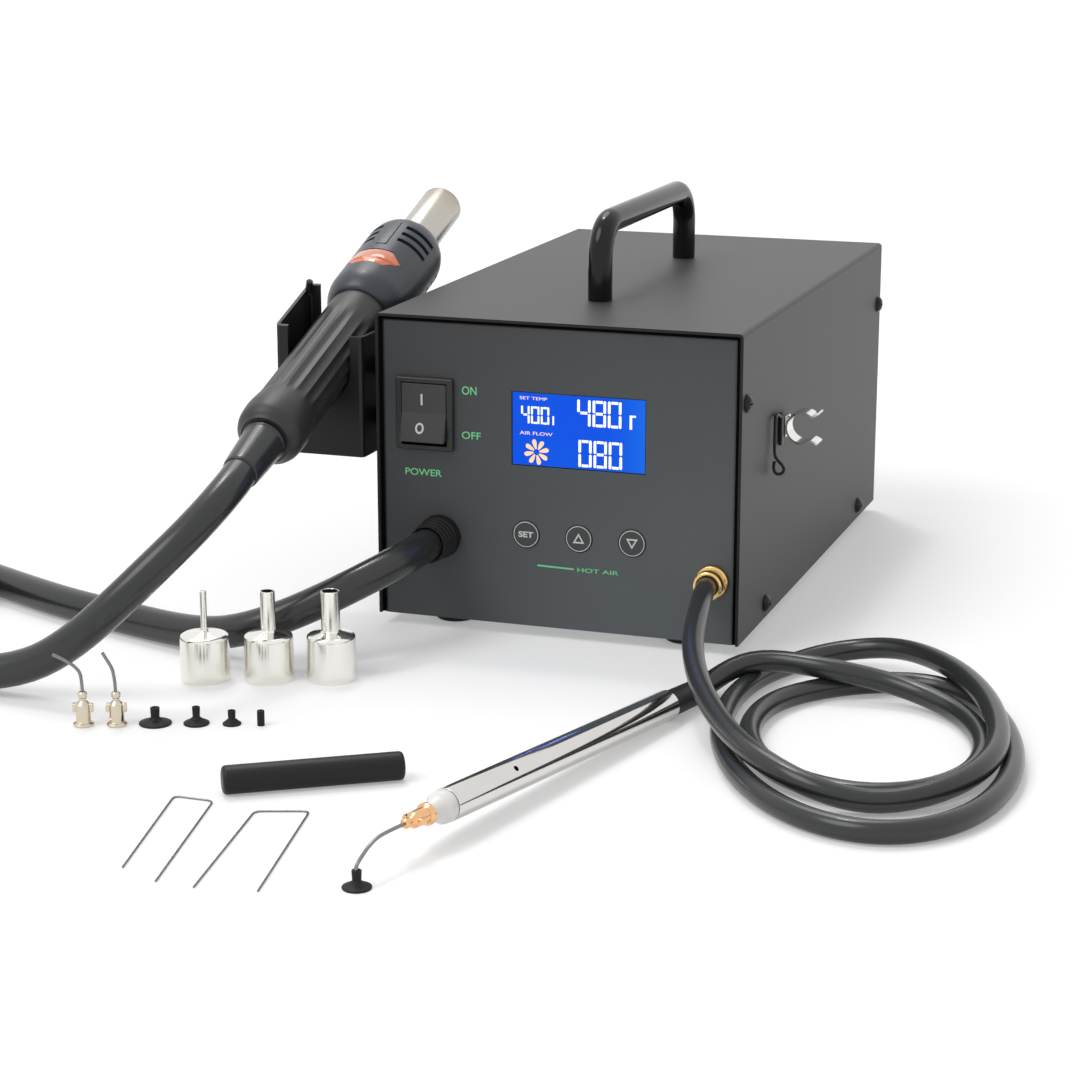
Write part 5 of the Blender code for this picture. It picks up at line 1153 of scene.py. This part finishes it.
def make_clip():
    """The sprung clip for the pen, its foot, the black plate beside it and the wire hook."""
    radius, strip, count = 6.3, 0.8, 48
    start, end = math.radians(52.0), math.radians(308.0)
    turns = [start + (end - start) * index / count for index in range(count + 1)]
    path = [((radius + strip / 2) * math.cos(turn), (radius + strip / 2) * math.sin(turn)) for turn in turns]
    (first_x, first_y), (last_x, last_y) = path[0], path[-1]
    path = [(first_x + 2.8, first_y + 1.4), (first_x + 1.3, first_y + 0.4), *path,
            (last_x + 1.3, last_y - 0.4), (last_x + 2.8, last_y - 1.4)]
    height = 84.5
    spring = plate("clip_spring", [strip_outline(path, strip)], 10.0)
    dress("clip_spring", spring, at(89.2, -64.0, height), "bright", stands_for=("pen_clip",))
    dress("clip_foot", block("clip_foot", (1.9, 8.0, 9.0)), at(81.3, -64.0, height), "bright")
    dress("hook_plate", block("hook_plate", (1.5, 4.0, 14.0)), at(81.05, -71.6, height), "painted",
          stands_for=("pen_hook",))
    bend = [(-0.2, 4.0, 5.2), (-0.2, -2.0, 7.4), (-0.2, -5.0, 7.9), (-0.1, -7.8, 7.2), (0.0, -8.8, 4.6),
            (0.0, -9.0, -3.0), (0.2, -9.0, -8.2), (1.5, -9.0, -10.6), (3.4, -9.2, -12.4), (4.4, -9.4, -14.4),
            (3.5, -9.7, -16.0), (1.9, -10.0, -16.4), (0.6, -10.3, -15.4), (0.2, -10.5, -13.2), (0.5, -10.6, -10.9)]
    route = smooth_route([to_row(81.8 + x, -77.0 + y, height + z) for x, y, z in bend], 0.0006)
    dress_wire("hook_wire", route, 0.0007, 16, "painted")


def make_pen():
    """The pen's bright barrel with its vent hole, its white nose and its rubber collar."""
    turn = (math.radians(-90.0) - PEN_TILT, 0.0, PEN_HEADING)
    place = at(*pen_point(0.0), turn)
    end, tail = PEN_LENGTH, PEN_LENGTH - PEN_SHORTER
    barrel = turned("pen_tube", [(5.2, tail), (6.0, tail), (6.0, 0.0), (5.2, 0.0)], 72, 0.15)
    vent = turned("vent_tool", [(0.0, 9.0), (1.1, 9.0), (1.1, 3.0), (0.0, 3.0)], 24)
    facing = Euler((math.radians(90.0), 0.0, math.radians(44.0))).to_matrix().to_4x4()
    vent.transform(Matrix.Translation((0.0, 0.0, 0.037)) @ facing)
    dress("pen_tube", carved(barrel, [vent]), place, "pen", stands_for=("pen_barrel",))
    nose = [(0.0, 10.0), (4.9, 10.0), (4.9, -0.3), (5.8, -0.3), (5.8, -3.5), (5.2, -4.4), (4.6, -5.2),
            (3.2, -10.5), (1.8, -10.5), (1.7, -15.9), (0.0, -15.9)]
    dress_turned("pen_nose_cap", nose, 56, 0.3, place, "white", stands_for=("pen_nose",))
    collar = [(0.0, end + 16.0), (4.4, end + 16.0), (5.0, end + 15.0), (5.0, end + 9.6), (4.7, end + 9.2),
              (4.7, end + 8.8), (5.0, end + 8.4), (5.2, tail + 1.5), (5.8, tail + 1.2), (5.8, tail + 0.2),
              (4.9, tail + 0.2), (4.9, tail - 8.0), (0.0, tail - 8.0)]
    dress_turned("pen_collar_rubber", collar, 48, 0.15, place, "rubber",
                 stands_for=("pen_collar",))


def hub_mesh(name):
    """A hub with a flange, a body, a waist, a ring and two wings."""
    height = 13.5
    profile = [(0.0, height), (1.2, height), (1.8, 12.9), (1.8, 11.4), (1.3, 10.9), (1.4, 9.9), (2.88, 8.5),
               (2.88, 1.6), (4.0, 1.0), (4.0, 0.0), (2.1, 0.0), (2.1, 6.0), (0.0, 6.0)]
    wings = block("wings", (8.0, 2.2, 3.4), (0.0, 0.0, height * 0.53), 0.35)
    return carved(turned(name, profile, 40, 0.18), [wings], "UNION")


def make_needle(name, place, route, finish):
    """A needle: its hub, and its wire from inside the hub along a route in the hub's own frame."""
    dress(name + "_hub", hub_mesh(name + "_hub"), place, finish, stands_for=(name,))
    points = [place @ (Vector(point) * MM) for point in [(0.0, 0.0, 10.5)] + route]
    dress_wire(name + "_wire", smooth_route(points, 0.001), 0.00065, 16, "wire")


def make_needles():
    """The two spare needles that stand on the bench, and the angled one in the pen, which ends in its cup."""
    lean = (0.0, 0.0, math.radians(19.0))
    make_needle("needle_long", at(-134.6, -299.2, 0.0, lean),
                [(-0.1, 0.0, 16.0), (-0.6, 0.0, 20.5), (-2.4, 0.0, 23.2), (-5.8, 0.0, 25.7), (-10.8, 0.0, 28.3)],
                "hub")
    make_needle("needle_short", at(-122.6, -295.0, 0.0, lean),
                [(-0.2, 0.0, 16.5), (-0.6, 0.0, 20.2), (-1.4, 0.0, 23.3), (-4.5, 0.0, 28.9)], "hub")
    seat, cup = pen_point(NEEDLE_SEAT), pen_point(PEN_CUP)
    turn = (math.radians(90.0) - PEN_TILT, 0.0, PEN_HEADING)
    to_hub = Euler(turn).to_matrix().transposed()
    end = to_hub @ (Vector((cup.x, cup.y, 4.1)) - seat)
    upright = to_hub @ Vector((0.0, 0.0, 1.0))
    route = [(0.0, 0.0, end.z * 0.50), (0.0, -0.4, end.z * 0.70), (0.0, -1.9, end.z * 0.82),
             (0.0, -3.8, end.z * 0.905), tuple(end + upright * 3.5), tuple(end)]
    make_needle("pen_needle", at(*seat, turn), route, "copper")


def cup_profile(rim, stem, height):
    """A suction cup: a flared rim, a stem and the hole for the needle's tip."""
    bore, floor = 0.95, height - 2.5
    return [(0.0, floor), (bore, floor), (bore, height), (stem, height), (stem * 0.9, height * 0.42),
            (stem + 0.8, height * 0.30), (rim * 0.75, height * 0.19), (rim, 0.7), (rim * 0.98, 0.0),
            (rim * 0.80, 0.0), (rim * 0.55, 0.9), (0.0, 1.2)]


def make_cups():
    """The three spare cups, the pen's cup and the small tip sleeve."""
    cup = pen_point(PEN_CUP)
    cups = (("cup_large", (-109.4, -289.0), 6.35, 1.84, 6.7), ("cup_medium", (-94.5, -283.9), 5.05, 1.55, 7.0),
            ("cup_small", (-81.4, -280.0), 3.65, 1.55, 5.7), ("pen_cup", (cup.x, cup.y), 5.0, 1.7, 6.3))
    for name, (x, y), rim, stem, height in cups:
        dress_turned(name + "_rubber", cup_profile(rim, stem, height), 48, 0.25, at(x, y, 0.0), "rubber",
                     stands_for=(name,))
    sleeve = [(0.73, 6.0), (1.45, 6.0), (1.45, 0.0), (0.73, 0.0)]
    dress_turned("tip_sleeve_rubber", sleeve, 32, 0.15, at(-70.4, -277.4, 0.0), "rubber",
                 stands_for=("tip_sleeve",))


def make_nozzles():
    """Three nozzles on their open bases, each with a near-black liner of soot and painted shade in its bore."""
    height = 36.8
    places = ((-116.5, -230.8, 0.7), (-92.1, -222.4, 2.4), (-68.3, -214.2, 3.2))
    for number, (x, y, bore) in enumerate(places, 1):
        tip = bore + 0.6
        profile = [(9.75, 0.0), (9.6, 15.0), (9.1, 17.0), (bore + 0.5, 17.9), (bore, 19.4), (bore, height),
                   (tip, height), (tip, 20.6), (tip + 0.5, 20.0), (8.8, 18.8), (9.7, 18.3), (9.95, 17.4),
                   (10.15, 6.0), (10.35, 0.0)]
        name = "nozzle_" + str(number)
        dress_turned(name + "_turned", profile, 96, 0.3, at(x, y, 0.0), "nozzle",
                     stands_for=(name,))
        # Painted shade: a near-black liner in the bore stands for soot and for the shade deep in the bore.
        liner = [(bore - 0.12, height - 0.1), (bore - 0.02, height - 0.1), (bore - 0.02, 20.0), (bore - 0.12, 20.0)]
        dress_turned(name + "_soot", liner, 32, 0.0, at(x, y, 0.0), "soot")


def make_rod_and_wires():
    """The black rod, which lies on the bench, and the two lifting wires in front of it."""
    profile = [(0.0, 65.6), (3.85, 65.6), (4.9, 65.1), (5.25, 64.2), (5.25, 1.4), (4.9, 0.5), (3.85, 0.0),
               (0.0, 0.0)]
    lying = (math.radians(-90.0), 0.0, math.radians(-57.1))
    dress_turned("rod_rubber", profile, 64, 0.4, at(-51.4, -351.0, 5.25, lying), "rod",
                 stands_for=("black_rod",))
    wires = (("lifting_wire_1", ((-51.8, -425.1), (-66.2, -359.0), (-50.9, -359.1), (-36.0, -432.4))),
             ("lifting_wire_2", ((-22.1, -433.0), (-32.8, -363.6), (-14.7, -357.4), (-1.1, -429.3))))
    for name, corners in wires:
        spots = [to_row(x, y, 0.4) for x, y in corners]
        path = [spots[0]]
        for before, corner, after in zip(spots, spots[1:], spots[2:]):
            path += corner_arc(corner + (before - corner).normalized() * 0.003, corner,
                               corner + (after - corner).normalized() * 0.003, 6)
        path.append(spots[-1])
        dress_wire(name + "_steel", path, 0.00036, 12, "wire", (name,))


class REWORK_OT_camera(bpy.types.Operator):
    """Place the camera at the photograph's angle"""

    bl_idname = "rework.camera"
    bl_label = "Camera"

    def execute(self, context):
        place_camera(context.scene, context.scene.rework_sizes.lens)
        return {"FINISHED"}


class REWORK_OT_hoses(bpy.types.Operator):
    """Lay the hot-air hose and the vacuum hose"""

    bl_idname = "rework.hoses"
    bl_label = "Hoses"

    def execute(self, context):
        lay_hoses(context.scene.rework_sizes)
        return {"FINISHED"}


class REWORK_OT_stage(bpy.types.Operator):
    """Set the floor, the studio light and the lamps"""

    bl_idname = "rework.stage"
    bl_label = "Stage"

    def execute(self, context):
        set_stage(context.scene, context.scene.rework_colours)
        return {"FINISHED"}


class REWORK_OT_case(bpy.types.Operator):
    """Finish the case, its panels, feet and screws, and paint shade into the gaps round both panels"""

    bl_idname = "rework.case"
    bl_label = "Case"

    def execute(self, context):
        dress_case()
        make_feet()
        make_screws()
        return {"FINISHED"}


class REWORK_OT_handle(bpy.types.Operator):
    """Make the carry handle"""

    bl_idname = "rework.handle"
    bl_label = "Carry handle"

    def execute(self, context):
        make_handle(context.scene.rework_sizes)
        return {"FINISHED"}


class REWORK_OT_controls(bpy.types.Operator):
    """Make the switch's marks, the display, the keys and the panel's print"""

    bl_idname = "rework.controls"
    bl_label = "Controls"

    def execute(self, context):
        make_switch_marks()
        make_display()
        make_keys(context.scene.rework_sizes)
        make_print(context.scene.rework_sizes)
        return {"FINISHED"}


class REWORK_OT_fittings(bpy.types.Operator):
    """Make the gland, the brass fitting and the inlet's pins"""

    bl_idname = "rework.fittings"
    bl_label = "Fittings"

    def execute(self, context):
        make_fittings()
        make_inlet_pins()
        return {"FINISHED"}


class REWORK_OT_handpiece(bpy.types.Operator):
    """Make the hot-air handpiece"""

    bl_idname = "rework.handpiece"
    bl_label = "Handpiece"

    def execute(self, context):
        make_handpiece(context.scene.rework_sizes)
        return {"FINISHED"}


class REWORK_OT_holders(bpy.types.Operator):
    """Make the holder's pin, the pen's clip and the hook"""

    bl_idname = "rework.holders"
    bl_label = "Holders"

    def execute(self, context):
        make_holder_pin()
        make_clip()
        return {"FINISHED"}


class REWORK_OT_pen(bpy.types.Operator):
    """Make the vacuum pen, the needles and the suction cups"""

    bl_idname = "rework.pen"
    bl_label = "Pen, needles and cups"

    def execute(self, context):
        make_pen()
        make_needles()
        make_cups()
        return {"FINISHED"}


class REWORK_OT_loose(bpy.types.Operator):
    """Make the nozzles, the rod and the lifting wires"""

    bl_idname = "rework.loose"
    bl_label = "Nozzles, rod and wires"

    def execute(self, context):
        make_nozzles()
        make_rod_and_wires()
        return {"FINISHED"}


OPERATORS = (REWORK_OT_camera, REWORK_OT_hoses, REWORK_OT_stage, REWORK_OT_case, REWORK_OT_handle,
             REWORK_OT_controls, REWORK_OT_fittings, REWORK_OT_handpiece, REWORK_OT_holders, REWORK_OT_pen,
             REWORK_OT_loose)


class REWORK_PT_station(bpy.types.Panel):
    """Lists the station's pieces, sizes and colours"""

    bl_idname = "REWORK_PT_station"
    bl_label = "Rework station"
    bl_space_type = "VIEW_3D"
    bl_region_type = "UI"
    bl_category = "Rework station"

    def draw(self, context):
        for group in (context.scene.rework_sizes, context.scene.rework_colours):
            for name in group.__annotations__:
                self.layout.prop(group, name)
        for operator in OPERATORS:
            self.layout.operator(operator.bl_idname)


CLASSES = (StationSizes, StationColours, *OPERATORS, REWORK_PT_station)


def register():
    """Registers the classes and gives the scene its sizes and colours."""
    for item in CLASSES:
        bpy.utils.register_class(item)
    bpy.types.Scene.rework_sizes = PointerProperty(type=StationSizes)
    bpy.types.Scene.rework_colours = PointerProperty(type=StationColours)


def unregister():
    """Undoes register."""
    del bpy.types.Scene.rework_colours
    del bpy.types.Scene.rework_sizes
    for item in reversed(CLASSES):
        bpy.utils.unregister_class(item)


def main():
    """Calls the operators in order."""
    register()
    for operator in OPERATORS:
        group, name = operator.bl_idname.split(".")
        getattr(getattr(bpy.ops, group), name)()


if __name__ == "__main__":
    main()
